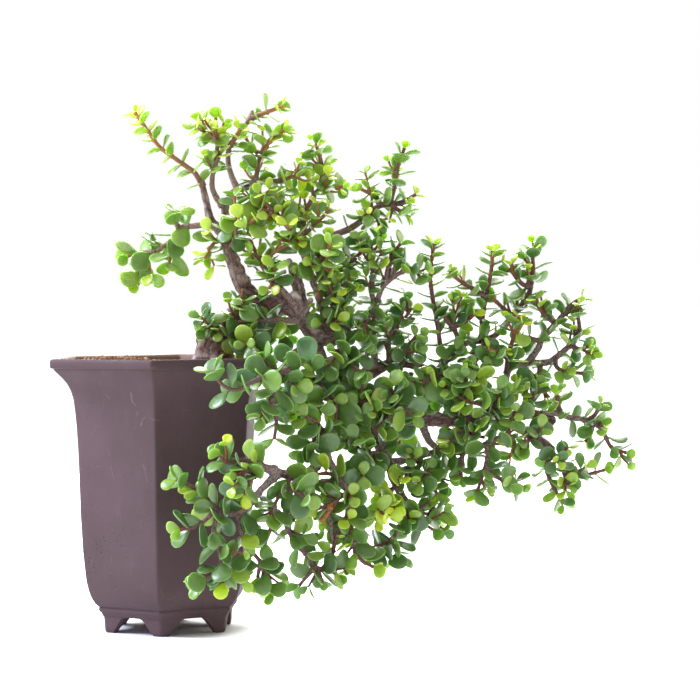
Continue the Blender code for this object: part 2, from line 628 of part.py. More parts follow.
class Line:
    """A smooth line through a shoot's points, read by the distance along it."""

    FINENESS = 8

    def __init__(self, points):
        ends = [points[0] * 2 - points[1], *points, points[-1] * 2 - points[-2]]
        self.points = []
        for a, b, c, d in zip(ends, ends[1:], ends[2:], ends[3:]):
            for k in range(self.FINENESS):
                t = k / self.FINENESS
                self.points.append(
                    0.5 * (2 * b + (c - a) * t + (2 * a - 5 * b + 4 * c - d) * t * t
                           + (3 * b - a - 3 * c + d) * t ** 3)
                )
        self.points.append(points[-1])
        self.marks = [0.0]
        for a, b in zip(self.points, self.points[1:]):
            self.marks.append(self.marks[-1] + (b - a).length)
        self.length = self.marks[-1]

    def at(self, distance):
        distance = min(max(distance, 0.0), self.length)
        for k in range(len(self.points) - 1):
            if distance <= self.marks[k + 1]:
                span = self.marks[k + 1] - self.marks[k]
                share = (distance - self.marks[k]) / span if span else 0.0
                return self.points[k].lerp(self.points[k + 1], share)
        return self.points[-1]


def tree_of(thing):
    """A search tree over an object's faces, in millimetres."""
    points = [thing.matrix_world @ vertex.co / MM for vertex in thing.data.vertices]
    faces = [tuple(face.vertices) for face in thing.data.polygons]
    return BVHTree.FromPolygons(points, faces, epsilon=0.0)


def height_over(wood, point):
    """How far a point lies outside the wood's surface, negative inside it."""
    near, normal, _, distance = wood.find_nearest(point)
    return math.copysign(distance, (point - near).dot(normal))


def seat_on(wood, line, radius):
    """Where a line leaves the wood: how far along it, the seat's middle and the way it faces."""
    inside = [step for step in range(int(line.length)) if height_over(wood, line.at(step)) < 0]
    start = max(inside, default=-1) + 1
    base, facing, _, _ = wood.find_nearest(line.at(start))
    across = facing.orthogonal().normalized() * radius
    rim = [Matrix.Rotation(math.tau * k / 12, 3, facing) @ across for k in range(12)]
    lift = 0.0
    while min(height_over(wood, base + facing * lift + point) for point in rim) < SEAT_GAP:
        lift += SEAT_GAP / 2
    return start, base + facing * lift, facing


def nearest_on(shoots, point):
    """The nearest place on the middle lines of some shoots."""
    places = []
    for shoot in shoots:
        for (a, _), (b, _) in zip(shoot.route, shoot.route[1:]):
            _, share = intersect_point_line(point, a, b)
            places.append(a.lerp(b, min(max(share, 0.0), 1.0)))
    return min(places, key=lambda place: (place - point).length)


class Shoot:
    """One limb or twig of a branch: where its rings and its pairs of leaves stand."""

    def __init__(self, plan, elders, wood):
        points = [Vector(point) for point in plan["points"]]
        if elders:
            points[0] = nearest_on(elders, points[0])
        self.line = Line(points)
        self.leafy = plan["leafy"]
        self.turn = SHOOT_ROLL * len(elders)
        self.facing = None
        start, base = 0.0, self.line.at(0)
        if not elders:
            start, base, self.facing = seat_on(wood, self.line, plan["radii"][0])
        first, last = plan["radii"]
        marks = self.leaf_marks(start) if self.leafy else self.wood_marks(start, first, wood)
        self.route = [(base, first)]
        for mark in marks:
            share = mark / self.line.length
            self.route.append((self.line.at(mark), first + (last - first) * share))

    def wood_marks(self, start, radius, wood):
        """The rings of a limb past its first: one at each of its points that is clear of its seat."""
        marks = self.line.marks[self.line.FINENESS::self.line.FINENESS]
        return [
            mark for mark in marks
            if mark > start + radius and wood.find_nearest(self.line.at(mark))[3] > radius + SEAT_GAP
        ]

    def leaf_marks(self, start):
        """Two rings close together for each pair of leaves, evenly along the twig."""
        pairs = max(1, round((self.line.length - start) / PAIR_SPACING))
        marks = []
        for k in range(1, pairs + 1):
            middle = start + (self.line.length - start) * k / pairs - NODE_LENGTH
            marks += [middle - NODE_LENGTH / 2, middle + NODE_LENGTH / 2]
        return marks

    def build(self, shape):
        return tube(shape, self.route, 4 if self.leafy else LIMB_SIDES, self.turn, self.facing)


def leaf_sections(corners, along, length):
    """The four-cornered sections of one leaf that grows out of a side of a twig."""
    middle = sum(corners, Vector()) / 4
    wide = (corners[1] - corners[0]).normalized()
    out = wide.cross(along).normalized()
    blade = out * math.cos(LEAF_RISE) + along * math.sin(LEAF_RISE)
    thick = along * math.cos(LEAF_RISE) - out * math.sin(LEAF_RISE)
    sections = []
    for reach, width, thickness in (
        (LEAF_BELLY, LEAF_WIDTH * length, LEAF_THICKNESS),
        (LEAF_END, LEAF_END_WIDTH * LEAF_WIDTH * length, LEAF_THICKNESS / 2),
    ):
        centre = middle + blade * reach * length
        sections.append([
            centre + wide * width / 2 * a + thick * thickness / 2 * b
            for a, b in ((-1, -1), (1, -1), (1, 1), (-1, 1))
        ])
    return sections


def leaf_space(corners, sections):
    """The room a leaf takes, a little larger than the leaf and clear of its own twig."""
    shape = bmesh.new()
    base = [corner.lerp(tip, 0.3) for corner, tip in zip(corners, sections[0])]
    grown = []
    for section in (base, *sections):
        middle = sum(section, Vector()) / 4
        grown.append([middle + (point - middle) * LEAF_CLEARANCE for point in section])
    outward = (grown[2][0] - grown[1][0]) * (LEAF_CLEARANCE - 1)
    grown[2] = [point + outward for point in grown[2]]
    loft(shape, grown)
    space = BVHTree.FromBMesh(shape)
    shape.free()
    return space


def grow_leaf(shape, ring_below, ring_above, side, length, taken):
    """Draws one leaf out of a twig's side, unless its room is taken."""
    after = (side + 1) % 4
    root = [ring_below[side], ring_below[after], ring_above[after], ring_above[side]]
    corners = [vertex.co.copy() for vertex in root]
    along = (corners[3] - corners[0]).normalized()
    sections = leaf_sections(corners, along, length)
    space = leaf_space(corners, sections)
    if any(space.overlap(other) for other in taken):
        return
    taken.append(space)
    shape.faces.remove(shape.faces.get(root))
    for section in sections:
        ring = [shape.verts.new(point) for point in section]
        for k in range(4):
            shape.faces.new((root[k], root[(k + 1) % 4], ring[(k + 1) % 4], ring[k]))
        root = ring
    shape.faces.new(root)


def build_branch(name, leaf_length, shoots, taken, finish):
    solids = []
    for number, shoot in enumerate(shoots):
        shape = bmesh.new()
        rings = shoot.build(shape)
        if shoot.leafy:
            for pair, k in enumerate(range(1, len(rings) - 1, 2)):
                for side in (pair % 2, pair % 2 + 2):
                    grow_leaf(shape, rings[k], rings[k + 1], side, leaf_length, taken)
        solids.append(put_in_scene(f"{name}_{number}", shape, finish))
    branch = combine(solids[0], solids[1:], "UNION")
    branch.name = name
    branch.data.name = name
    return branch


def wood_space(shoots):
    """A search tree over the bare wood of a branch."""
    shape = bmesh.new()
    for shoot in shoots:
        shoot.build(shape)
    space = BVHTree.FromBMesh(shape)
    shape.free()
    return space


def build_branches(wood, others):
    grown = []
    old_wood = tree_of(wood)
    for name, leaf_length, plans in BRANCHES:
        shoots = []
        for plan in plans:
            shoots.append(Shoot(plan, shoots, old_wood))
        grown.append((name, leaf_length, shoots))
    taken = [tree_of(thing) for thing in (wood, *others)]
    taken += [wood_space(shoots) for _, _, shoots in grown]
    branches = []
    for number, (name, leaf_length, shoots) in enumerate(grown):
        youth = number / len(grown)
        finish = material(name, (0.13 + 0.06 * youth, 0.27, 0.05), 0.45)
        branches.append(build_branch(name, leaf_length, shoots, taken, finish))
    return branches


def stand_at_origin(pieces):
    """Puts the middle of the whole plant's box, at the foot of the pot, on the origin."""
    corners = [vertex.co for piece in pieces for vertex in piece.data.vertices]
    frame = bpy.data.objects.new("elephant_bush_bonsai", None)
    bpy.context.scene.collection.objects.link(frame)
    middle = [(min(c[k] for c in corners) + max(c[k] for c in corners)) / 2 for k in (0, 1)]
    frame.location = (-round(middle[0], 3), -round(middle[1], 3), 0)
    for piece in pieces:
        piece.parent = frame


def main():
    clear_scene()
    pot = build_pot(material("clay", (0.13, 0.085, 0.08), 0.75))
    soil = build_soil(material("soil", (0.20, 0.11, 0.06), 0.95))
    wood = build_old_wood(material("bark", (0.19, 0.14, 0.10), 0.85))
    branches = build_branches(wood, (pot, soil))
    stand_at_origin([pot, soil, wood, *branches])


main()
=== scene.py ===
"""The look of an elephant bush (Portulacaria afra) cascade bonsai in a tall hexagonal clay pot.

Lengths typed here are in millimetres from the middle of the pot's foot: +X right, +Y back, +Z up.
Meshes are in metres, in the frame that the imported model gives.
"""

import itertools
import json
import math
import random
from collections import namedtuple

import bmesh
import bpy
import numpy as np
from mathutils import Matrix, Vector, noise
from mathutils.bvhtree import BVHTree
from mathutils.geometry import intersect_point_line
from mathutils.kdtree import KDTree

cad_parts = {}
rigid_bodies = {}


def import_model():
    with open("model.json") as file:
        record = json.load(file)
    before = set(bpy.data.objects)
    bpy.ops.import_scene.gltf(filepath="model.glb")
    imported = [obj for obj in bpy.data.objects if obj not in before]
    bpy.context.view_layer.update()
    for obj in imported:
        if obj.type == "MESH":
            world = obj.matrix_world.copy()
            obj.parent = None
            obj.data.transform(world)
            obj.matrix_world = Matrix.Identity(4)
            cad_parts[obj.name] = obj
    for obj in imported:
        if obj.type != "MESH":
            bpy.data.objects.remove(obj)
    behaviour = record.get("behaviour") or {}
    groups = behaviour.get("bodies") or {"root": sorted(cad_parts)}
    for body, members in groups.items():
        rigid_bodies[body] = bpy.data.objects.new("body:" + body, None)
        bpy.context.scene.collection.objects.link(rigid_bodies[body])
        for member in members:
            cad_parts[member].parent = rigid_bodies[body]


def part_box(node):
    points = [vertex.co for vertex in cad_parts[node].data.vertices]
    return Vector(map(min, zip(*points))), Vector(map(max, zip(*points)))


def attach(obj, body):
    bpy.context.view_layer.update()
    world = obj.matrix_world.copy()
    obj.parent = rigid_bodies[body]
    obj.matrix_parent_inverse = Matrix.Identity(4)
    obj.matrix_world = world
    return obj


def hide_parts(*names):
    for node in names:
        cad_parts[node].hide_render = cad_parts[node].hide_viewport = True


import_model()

MM = 0.001
UP = Vector((0, 0, 1))
POT_LOW, POT_HIGH = (Vector(corner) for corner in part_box("pot"))
POT_AXIS = Vector(((POT_LOW.x + POT_HIGH.x) / 2, (POT_LOW.y + POT_HIGH.y) / 2, 0))
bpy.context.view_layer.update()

# The camera, and how far it leans down and rolls, in radians.
CAMERA_PLACE = Vector((169.1, -2304.8, 306.2))
CAMERA_PITCH, CAMERA_ROLL = -0.0222, -0.0082
CAMERA_LENS, CAMERA_SENSOR = 128.7, 36
CAMERA_RANGE = 50

# The pot: a hexagon standing corner forward, turned a little to the left, with rounded corners.
POT_SIDES = 6
POT_TURN = math.radians(-92.7)
POT_CORNER = math.radians(120)
# The rounding of its corners, and the share of its radius that a small outline is rounded by.
POT_ROUNDING, POT_ROUNDING_SHARE = 3.2, 0.2
CORNER_STEPS, SIDE_STEPS = 6, 10
# The tallest step between two levels of the wall.
WALL_STEP = 7
# Circumradius and height around the wall: up the outside, over the lip, and down the inside.
POT_OUTSIDE = [
    (60.0, 14.6), (64.8, 14.8), (66.0, 15.6), (66.5, 17.2), (67.4, 18.6), (69.0, 19.6),
    (69.5, 21.2), (69.4, 22.8), (69.0, 23.4), (70.2, 24.2), (73.0, 26.6), (76.6, 32.0),
    (79.4, 39.0), (81.4, 48.0), (82.9, 60.0), (84.2, 74.0), (85.2, 90.0), (86.2, 108.0),
    (86.8, 128.0), (87.4, 148.0), (88.2, 168.0), (89.4, 188.0), (90.6, 202.0), (92.0, 213.0),
    (94.4, 221.0), (98.0, 227.6), (102.6, 232.8), (107.2, 237.0), (109.8, 239.4), (110.6, 240.4),
    (110.9, 241.2), (112.0, 241.5), (113.7, 241.9), (114.3, 242.9), (114.3, 247.4), (113.9, 248.8),
    (112.7, 249.8), (111.0, 250.0),
]
POT_INSIDE = [
    (109.0, 249.8), (107.6, 249.0), (106.8, 247.6), (106.4, 245.0), (105.4, 241.0), (101.0, 236.0),
    (96.0, 232.0), (91.0, 222.0), (87.0, 212.0),
]
# How the hand-made wall sways: the width of each wave, its place in the noise, and its depth.
POT_WAVES = [(60, 4.0, 0.35), (16, 9.0, 0.10)]
# The soles stay flat, and the sway comes in fully at this height.
SWAY_RISE = 4
# Each foot's reach along both walls from its corner, its point and its heel, at rising heights.
FOOT_LEVELS = [
    (7.8, 62.2, 54.0, 0.0), (8.9, 63.0, 53.6, 0.7), (10.1, 63.4, 52.4, 2.0),
    (12.8, 63.8, 49.6, 5.0), (15.8, 64.1, 46.0, 8.5), (18.4, 64.4, 42.6, 11.6),
    (20.8, 64.7, 40.2, 13.6), (24.4, 65.0, 38.0, 15.2), (25.4, 65.2, 37.0, 17.0),
]
FOOT_ROUNDING, FOOT_CORNER_STEPS = 3.0, 5
# A foot's depth behind its flank, how far its back draws in there, and its heel's half-width.
FOOT_DEPTH, FOOT_DRAW_IN, HEEL_HALF = 5, 1.2, 3
# The wall is stained by soil above this height, where it faces inward: where the product of a place
# and its normal is under this. The stain is given a duller colour there as painted shade.
STAIN_AND_SHADE_FLOOR, STAIN_AND_SHADE_FACING = 228.0, -0.3
# Edges of the pot sharper than this stay sharp.
POT_SHARP = math.radians(40)
# Marks on the wall: where they lie thickest, and how far they spread.
SCRATCH_PLACE, SCRATCH_SPREAD = (-34.0, -84.0, 196.0), 34.0
PIT_PLACE, PIT_SPREAD = (-62.0, -55.0, 66.0), 44.0

# The soil's bed: its height, its reach to a corner, its rings, its depth and its tone.
SOIL_TOP, SOIL_RADIUS, SOIL_RINGS, SOIL_DEPTH = 241.4, 104.0, 14, 6.0
BED_TONE = 0.3
# How far the bed's middle stands over that height, and how much lower than it the edge lies.
MOUND_RISE, MOUND_FALL = 1.6, 1.4
# The heap: its place, its width, depth and rise, and how blunt it is.
HEAP_PLACE, HEAP_SIZE, HEAP_BLUNTNESS = (-44, -50), (54, 27, 7.4), 0.6
CRUMB_COUNT = 2600
# A crumb: its radius, and the share that it may shrink to; against its radius, how far its middle
# stands over the bed and how far it stays from the wall; its stretching, its knobs and its tone.
CRUMB_SIZES, CRUMB_SMALLER = (1.0, 2.9), 0.6
CRUMB_RISE, CRUMB_CLEARANCE = (-0.3, 0.5), 1.4
CRUMB_STRETCH, CRUMB_KNOBS = (0.7, 1.25), (0.78, 1.2)
CRUMB_TONE, CRUMB_TONE_SPREAD = 0.62, 0.25

# Old wood: the fineness of its skin, the step and the sides of its tubes, and how uneven they are.
BARK_VOXEL = 1.05
LIMB_STEP, LIMB_SIDES = 3.0, 16
LIMB_UNEVEN, KNOB_UNEVEN = 0.16, 0.25
# How quickly the unevenness of a tube changes, for each millimetre.
TUBE_NOISE = 0.45
# The bark's relief: how wide its lumps, wrinkles and fissures are, and how high or deep.
LUMP_WIDTH, LUMP_HEIGHT = 13, 0.62
WRINKLE_WIDTH, WRINKLE_HEIGHT = 4.2, 0.42
FISSURE_WIDTH, FISSURE_DEPTH, FISSURE_SHARPNESS = 4.4, 0.55, 2.2
# The bark's height as its material reads it: the middle's value, and a millimetre's.
HEIGHT_MIDDLE, HEIGHT_SCALE = 0.55, 0.42
# A cut's edge: how it strays with the bark's lumps, and how sharp it is.
CUT_RAGGED, CUT_SHARPNESS = 0.35, 1.6
# How far places along a limb are squeezed, so that the bark's pattern is drawn out along it.
GRAIN_SQUEEZE = 0.28
# Where painted shade darkens the old wood, and where the young wood is sunlit: places, and how far
# they spread.
PAINTED_WOOD_SHADE = [((275, 5, 200), 140.0), ((90, -6, 302), 30.0)]
SUNLIT_CROWN = ((50, 0, 430), 190.0)

# Young wood: a twig's radii, and how much thicker a fresh one is.
TWIG_RADIUS, TWIG_TIP_RADIUS = 1.95, 1.35
FRESH_THICKNESS = 0.35
# Ages, from 1 for old wood to 0 for a tip: a limb's at its two ends, and a twig's with how much
# younger a fresh one is there.
LIMB_AGES = (1.0, 0.5)
TWIG_AGES = ((0.75, 0.35), (0.34, 0.32))
# The rings of its skin: their step, their least step, and the extra ones round each pair of leaves.
RING_STEP, RING_GAP = 2.6, 0.45
NODE_RINGS = (-1.5, -0.5, 0.5, 1.5)
# How it swells at each pair of leaves and at its foot, and how far each swelling reaches: the first
# in millimetres, the second against its radius.
NODE_SWELL, NODE_REACH = 0.30, 0.9
FOOT_SWELL, FOOT_REACH = 0.45, 2.2
# The sides and the unevenness of a shoot thicker than this radius, and of a thinner one.
THICK_SHOOT = 2.4
THICK_SKIN, THIN_SKIN = (12, 0.22), (8, 0.12)
# Side shoots: their radius against their bearer's and at the tip, the thickest and the youngest at
# the foot, and how much younger than their bearer they are; their length and leaves against its
# leaves; the shares of the ways out, along and to the light in theirs; where and how much they
# bend; and how far they are turned round their bearer.
SIDE_RADIUS, SIDE_TIP_RADIUS = 0.85, 0.9
SIDE_THICKEST, SIDE_YOUNGEST, SIDE_YOUNGER = 1.4, 0.25, 0.12
SIDE_LENGTHS, SIDE_LEAVES = (0.55, 1.15), (0.80, 1.0)
SIDE_OUT, SIDE_ALONG, SIDE_LIGHT = 0.80, 0.55, 0.30
SIDE_MIDDLE, SIDE_BEND_ALONG, SIDE_BEND_UP = 0.55, 0.2, 0.35
SIDE_TURN = 0.3

# A leaf: its width against its length, and how that strays; its widest place along its length; its
# foot's half-width and how it widens from there; its thickness, and the length that has it in full.
LEAF_WIDTH, LEAF_WIDTHS = 0.84, (0.90, 1.12)
LEAF_CENTRE = 0.58
LEAF_FOOT, LEAF_WIDENING = 0.10, 1.05
LEAF_THICKNESS, FULL_LEAF = 1.9, 17
# The share of that thickness that no leaf is under, and the share that grows with its length.
LEAF_THINNEST, LEAF_THICKENING = 0.55, 0.45
# The leaf's mesh: points round it, and its inner rings against its edge.
LEAF_SEGMENTS, LEAF_RINGS = 18, (0.93, 0.58)
# How far a leaf may be cupped, bent and twisted, as shares of its length.
LEAF_CURVES = ((-0.05, 0.16), (-0.16, 0.12), (-0.12, 0.12))
# The step between two pairs against a leaf's length, and how the steps shorten towards the tip.
PAIR_SHARE, PAIR_CROWDING = 0.60, 1.3
# The first pair's distance, at most this share of the shoot, and the room that a second pair needs.
FIRST_PAIR, FIRST_PAIR_SHARE, PAIR_ROOM = 4.0, 0.3, 2
# How steeply a pair stands at a shoot's foot and how much more at its tip, in degrees; its length
# there against its branch's leaves, and how much less at the tip; and the same for the bud's pair.
PAIR_RISE, PAIR_RISE_MORE = 18, 26
PAIR_LENGTH, PAIR_LENGTH_LESS = 1.06, 0.22
BUD_RISE, BUD_LENGTHS, BUD_FRESH_LESS = 44, (0.60, 0.80), 0.4
# How far a leaf strays: its turn round the wood, its tilt, its length, its tone and its bloom.
LEAF_TURN, LEAF_TILT, LEAF_LENGTHS = 0.22, 0.20, (0.88, 1.12)
# How far a leaf turns to the light, and how far out in the wood its foot lies against its radius.
LEAF_TO_LIGHT, LEAF_SEAT = (0.3, 1.0), 0.75
TIP_TONE, PAIR_TONE_SPREAD, LEAF_TONE_SPREAD = 0.14, 0.07, 0.08
BLOOM, BLOOM_SPREAD = 0.05, 0.3
# How often a leaf that finds no room is tried again, and how much it rises and shrinks each time.
LEAF_TRIES, LEAF_RAISE, LEAF_SHRINK = 5, 0.20, 0.07
# A leaf's length from the length that its branch is planned with.
LEAF_BASE, LEAF_GROWTH = 6.5, 0.82
# The leaf length given to an end without leaves, so that it swells at its foot and tip only.
NO_LEAF = 99
# Low leaves face outward: the height where that starts, how soon, and the depth of the middle.
FACING_TOP, FACING_DEPTH, FACING_MIDDLE = 320.0, 110.0, 14.0
# How much less the sky counts low in the plant; how much the way outward counts, and more low down.
SKY_LESS, OUTWARD, OUTWARD_MORE = 0.6, 0.55, 0.45
# How far each shoot is rolled on from the one before.
SHOOT_ROLL = math.radians(137.5)
# How a branch looks: its leaves' tone (0 deep green, 1 yellow), how fresh its tips are, its
# bushiness, how far its leaves turn to face outward, and their size against the branch's plan.
Look = namedtuple("Look", "tone fresh bushy face size", defaults=(1.0, 1.0))
PLAIN = Look(0.14, 0.12, 0.50)
CENTRE = Look(0.12, 0.12, 0.50, 1.7, 1.06)
# How much yellower a leaf out of season is, and how many are.
YOUNG_TONE, YOUNG_CHANCE = 0.42, 0.06
# Places across and up where no leaf hides the wood from the front, with the reach of each, and the
# room that is added to it.
LEAF_CLEARANCE = 2.5
CLEARINGS = [
    (121, 300, 7), (127, 289, 7), (63, 341, 8), (68, 327, 8), (75, 313, 8), (147, 269, 9),
    (245, 190, 6), (256, 189, 6), (188, 184, 6), (197, 167, 7), (204, 151, 5), (217, 121, 5),
    (104, 146, 8), (17, 84, 4), (18, 68, 4),
]
# The share of a branch's limb that bears no leaf, and the height that no leaf hangs below.
LIMB_BARE = 0.45
LOWEST_LEAF = 6.0

# Stage and light: places and sizes in metres, powers in watts.
WORLD_STRENGTH = 0.62
FLOOR_HALF, FLOOR_DROP = 40.0, 0.0002
# From this near the pot's axis to this far, the floor turns from its own colour to white.
FLOOR_NEAR, FLOOR_FAR = 0.066, 0.115
# Each light's name, place, aim, size, power and colour.
LIGHTS = [
    ("key", (-1.9, -0.1, 1.7), (0, 0, 0.25), 1.1, 130, (0.72, 0.776, 1.0)),
    ("back", (0.1, 1.9, 1.8), (0, 0, 0.25), 1.6, 98, (1.0, 1.0, 0.96)),
    ("right", (1.9, 0.9, 0.9), (0, 0, 0.25), 1.2, 18, (1.0, 0.93, 0.85)),
]


# ---- The routes of the wood ----

def limb(first_radius, last_radius, *points):
    """A woody limb: its radius runs evenly from its first point to its last."""
    return {"points": points, "radii": (first_radius, last_radius), "leafy": False}


def twig(*points):
    """A leafy twig. The first point lies on or in the wood that bears it."""
    return {"points": points, "radii": (TWIG_RADIUS, TWIG_TIP_RADIUS), "leafy": True}


# The old wood, grown as one piece. Each point is (x, y, z, radius).
TRUNK = [
    (40, 0, 222, 15), (41, 0, 240, 15), (43, 0, 254, 17), (51, -2, 267, 15.5), (62, -4, 280, 14),
    (76, -5, 292, 12.8), (91, -6, 298, 11.8), (108, -8, 298, 9.8), (119, -9, 292, 8),
    (128, -9, 280, 7), (135, -9, 267, 6.6), (140, -9, 254, 6), (145, -9, 243, 5.4),
    (151, -8, 233, 5.2), (158, -7, 221, 5.2), (169, -5, 205, 5.2), (182, -5, 195, 5.2),
    (199, -4, 193, 5.2), (217, -2, 191, 5.6), (235, -1, 190, 6), (260, 1, 189, 6),
    (285, 2, 189, 5.6), (310, 4, 191, 4.8), (331, 6, 195, 4.8), (344, 6, 192, 5),
    (357, 6, 187, 4.7),
]
LIMBS = {
    "leader": [
        (89, -6, 299, 8.6), (73, -7, 311, 7), (66, -8, 325, 6.3), (61, -8, 341, 6),
        (56, -8, 357, 5.7), (50, -8, 367, 5.2), (43, -9, 373, 4.4),
    ],
    "crown_left_limb": [
        (45, -9, 370, 4.4), (41, -9, 381, 3.8), (39, -9, 390, 3.4), (37, -10, 399, 3.2),
        (35, -10, 411, 2.9),
    ],
    "crown_limb": [
        (54, -8, 362, 4.6), (55, -3, 378, 4), (56, 0, 391, 3.6), (63, 2, 401, 3.4),
        (80, 2, 407, 3.3),
    ],
    "knob_limb": [
        (131, -9, 272, 6.4), (143, -7, 270, 8.4), (153, -4, 269, 7.8), (161, 0, 270, 5.4),
        (172, 4, 272, 3.6), (183, 6, 271, 3.1),
    ],
    "rising_limb": [
        (147, -8, 276, 4.6), (145, -11, 292, 3.8), (139, -13, 309, 3.5), (134, -13, 325, 3.3),
        (132, -14, 342, 3.1),
    ],
    "rough_limb": [
        (157, -7, 224, 5), (165, -5, 225, 5.4), (174, -1, 229, 6), (183, 3, 232, 6.4),
        (192, 6, 236, 6.4), (201, 9, 240, 5.4), (210, 11, 241, 4.3), (223, 14, 241, 4),
        (236, 16, 238, 4), (250, 18, 234, 4.3), (259, 20, 246, 3.9), (268, 22, 255, 3.7),
        (280, 23, 261, 3.4), (292, 24, 262, 3.1), (303, 25, 266, 3), (312, 26, 274, 2.9),
    ],
    "near_riser": [
        (235, 1, 191, 4), (236, 3, 199, 2.9), (236, 5, 211, 2.7), (240, 9, 223, 2.6),
        (246, 15, 232, 2.4),
    ],
    "slant_riser": [
        (200, -2, 195, 3.2), (208, 2, 206, 2.8), (215, 6, 215, 2.8), (221, 9, 223, 2.7),
        (226, 13, 233, 2.6),
    ],
    "grey_fork": [
        (306, 5, 192, 4.2), (310, 9, 208, 3.2), (313, 13, 225, 3.1), (317, 17, 236, 3.4),
        (327, 19, 240, 3.5), (341, 20, 240, 3.4),
    ],
    "lower_right_limb": [
        (303, 4, 190, 4.2), (318, 0, 186, 4.3), (332, -3, 177, 4.6), (343, -4, 170, 4.6),
        (355, -5, 161, 4.5),
    ],
    "cascade_limb": [
        (173, -6, 201, 5.2), (184, -12, 187, 5.4), (195, -20, 168, 5.2), (203, -26, 153, 4.8),
        (207, -31, 140, 4.2), (213, -36, 127, 4), (219, -40, 117, 3.6),
    ],
    "lower_left_limb": [
        (148, -8, 237, 5), (156, -28, 212, 4.8), (155, -48, 189, 4.6), (146, -72, 163, 4.5),
        (130, -92, 148, 4.4), (115, -106, 148, 4.4), (100, -118, 152, 4),
    ],
    "high_stub": [
        (134, -11, 274, 6.4), (127, -14, 288, 6.4), (121, -17, 300, 6.2), (117, -18, 308, 5.2),
    ],
    "high_stub_side": [(126, -16, 290, 4.2), (131, -17, 297, 3.6), (134, -17, 303, 2.2)],
    "rear_snag": [
        (128, -9, 288, 5), (124, -7, 304, 5.6), (121, -8, 317, 6), (118, -9, 328, 5.2),
        (113, -11, 339, 2.2),
    ],
    "front_stub": [(136, -10, 259, 5.4), (125, -15, 255, 5), (115, -19, 250, 4.2)],
}

# Wood that the solids leave out: the flare of the roots, and knobs on the old wood.
ROOTS = [
    [(38, -4, 256, 9), (31, -7, 248, 7), (25, -9, 241, 5)],
    [(36, 4, 255, 9), (30, 8, 247, 7), (25, 11, 241, 4.5)],
    [(46, -6, 256, 9), (46, -13, 247, 6.5), (45, -19, 241, 4.5)],
    [(49, 5, 256, 8), (54, 10, 248, 6), (58, 13, 241, 4.5)],
    [(51, -3, 257, 8), (57, -6, 249, 6), (62, -8, 241, 4.5)],
]
KNOBS = [
    (40, -4, 262, 13), (56, -7, 279, 9), (92, -2, 304, 8), (104, -12, 296, 7), (122, -12, 292, 6),
    (146, -7, 272, 8), (153, 0, 266, 7), (172, -8, 203, 5.8), (186, 4, 233, 6.5), (194, 8, 238, 6),
    (148, -9, 240, 6), (76, -7, 309, 8.4), (71, -8, 319, 7.8), (67, -8, 329, 7.2),
    (63, -8, 339, 6.6), (57, -5, 354, 5.6), (250, 3, 191, 6.4), (285, -2, 189, 6), (312, 5, 190, 5),
    (141, -13, 268, 9), (151, -10, 266, 8.5),
]
# Where a limb was cut or broken: a place and how far its colour reaches. A pale cut is pale wood,
# made nearly white as a painted sunlit highlight.
PALE_AND_SUNLIT_CUTS = [
    (134, -18, 303, 6), (116, -21, 309, 7), (124, -21, 305, 4), (114, -14, 336, 5),
    (136, -21, 275, 5), (114, -20, 250, 5), (160, -4, 272, 6),
]
DARK_CUTS = [(357, 6, 187, 9), (350, 6, 191, 8)]
# Leafless ends on some branches, each with its two radii, its two ages and its line: a broken top,
# a bare stem and a cut one, and a dried flower stalk.
STUBS = {
    "crown_top_branch": [((2.1, 1.7), (0.95, 0.9), [(77, 10, 467), (79, 10, 472), (81, 9, 476)])],
    "lower_centre_branch": [
        ((2.4, 1.9), (0.8, 0.8), [(148, -91, 118), (151, -97, 104), (152, -98, 88)]),
        ((2.2, 2.4), (0.13, 0.13), [(151, -107, 122), (148, -112, 115), (143, -116, 108)]),
    ],
    "under_branch": [
        ((1.1, 0.8), (0.22, 0.10), [
            (313, -27, 181), (317, -25, 168), (315, -24, 159), (314, -24, 151), (312, -24, 140),
            (315, -24, 131),
        ]),
        ((0.8, 0.6), (0.16, 0.10), [(315, -24, 158), (310, -26, 152), (309, -27, 146)]),
        ((0.8, 0.6), (0.16, 0.10), [(314, -24, 148), (319, -23, 142), (319, -22, 136)]),
    ],
}

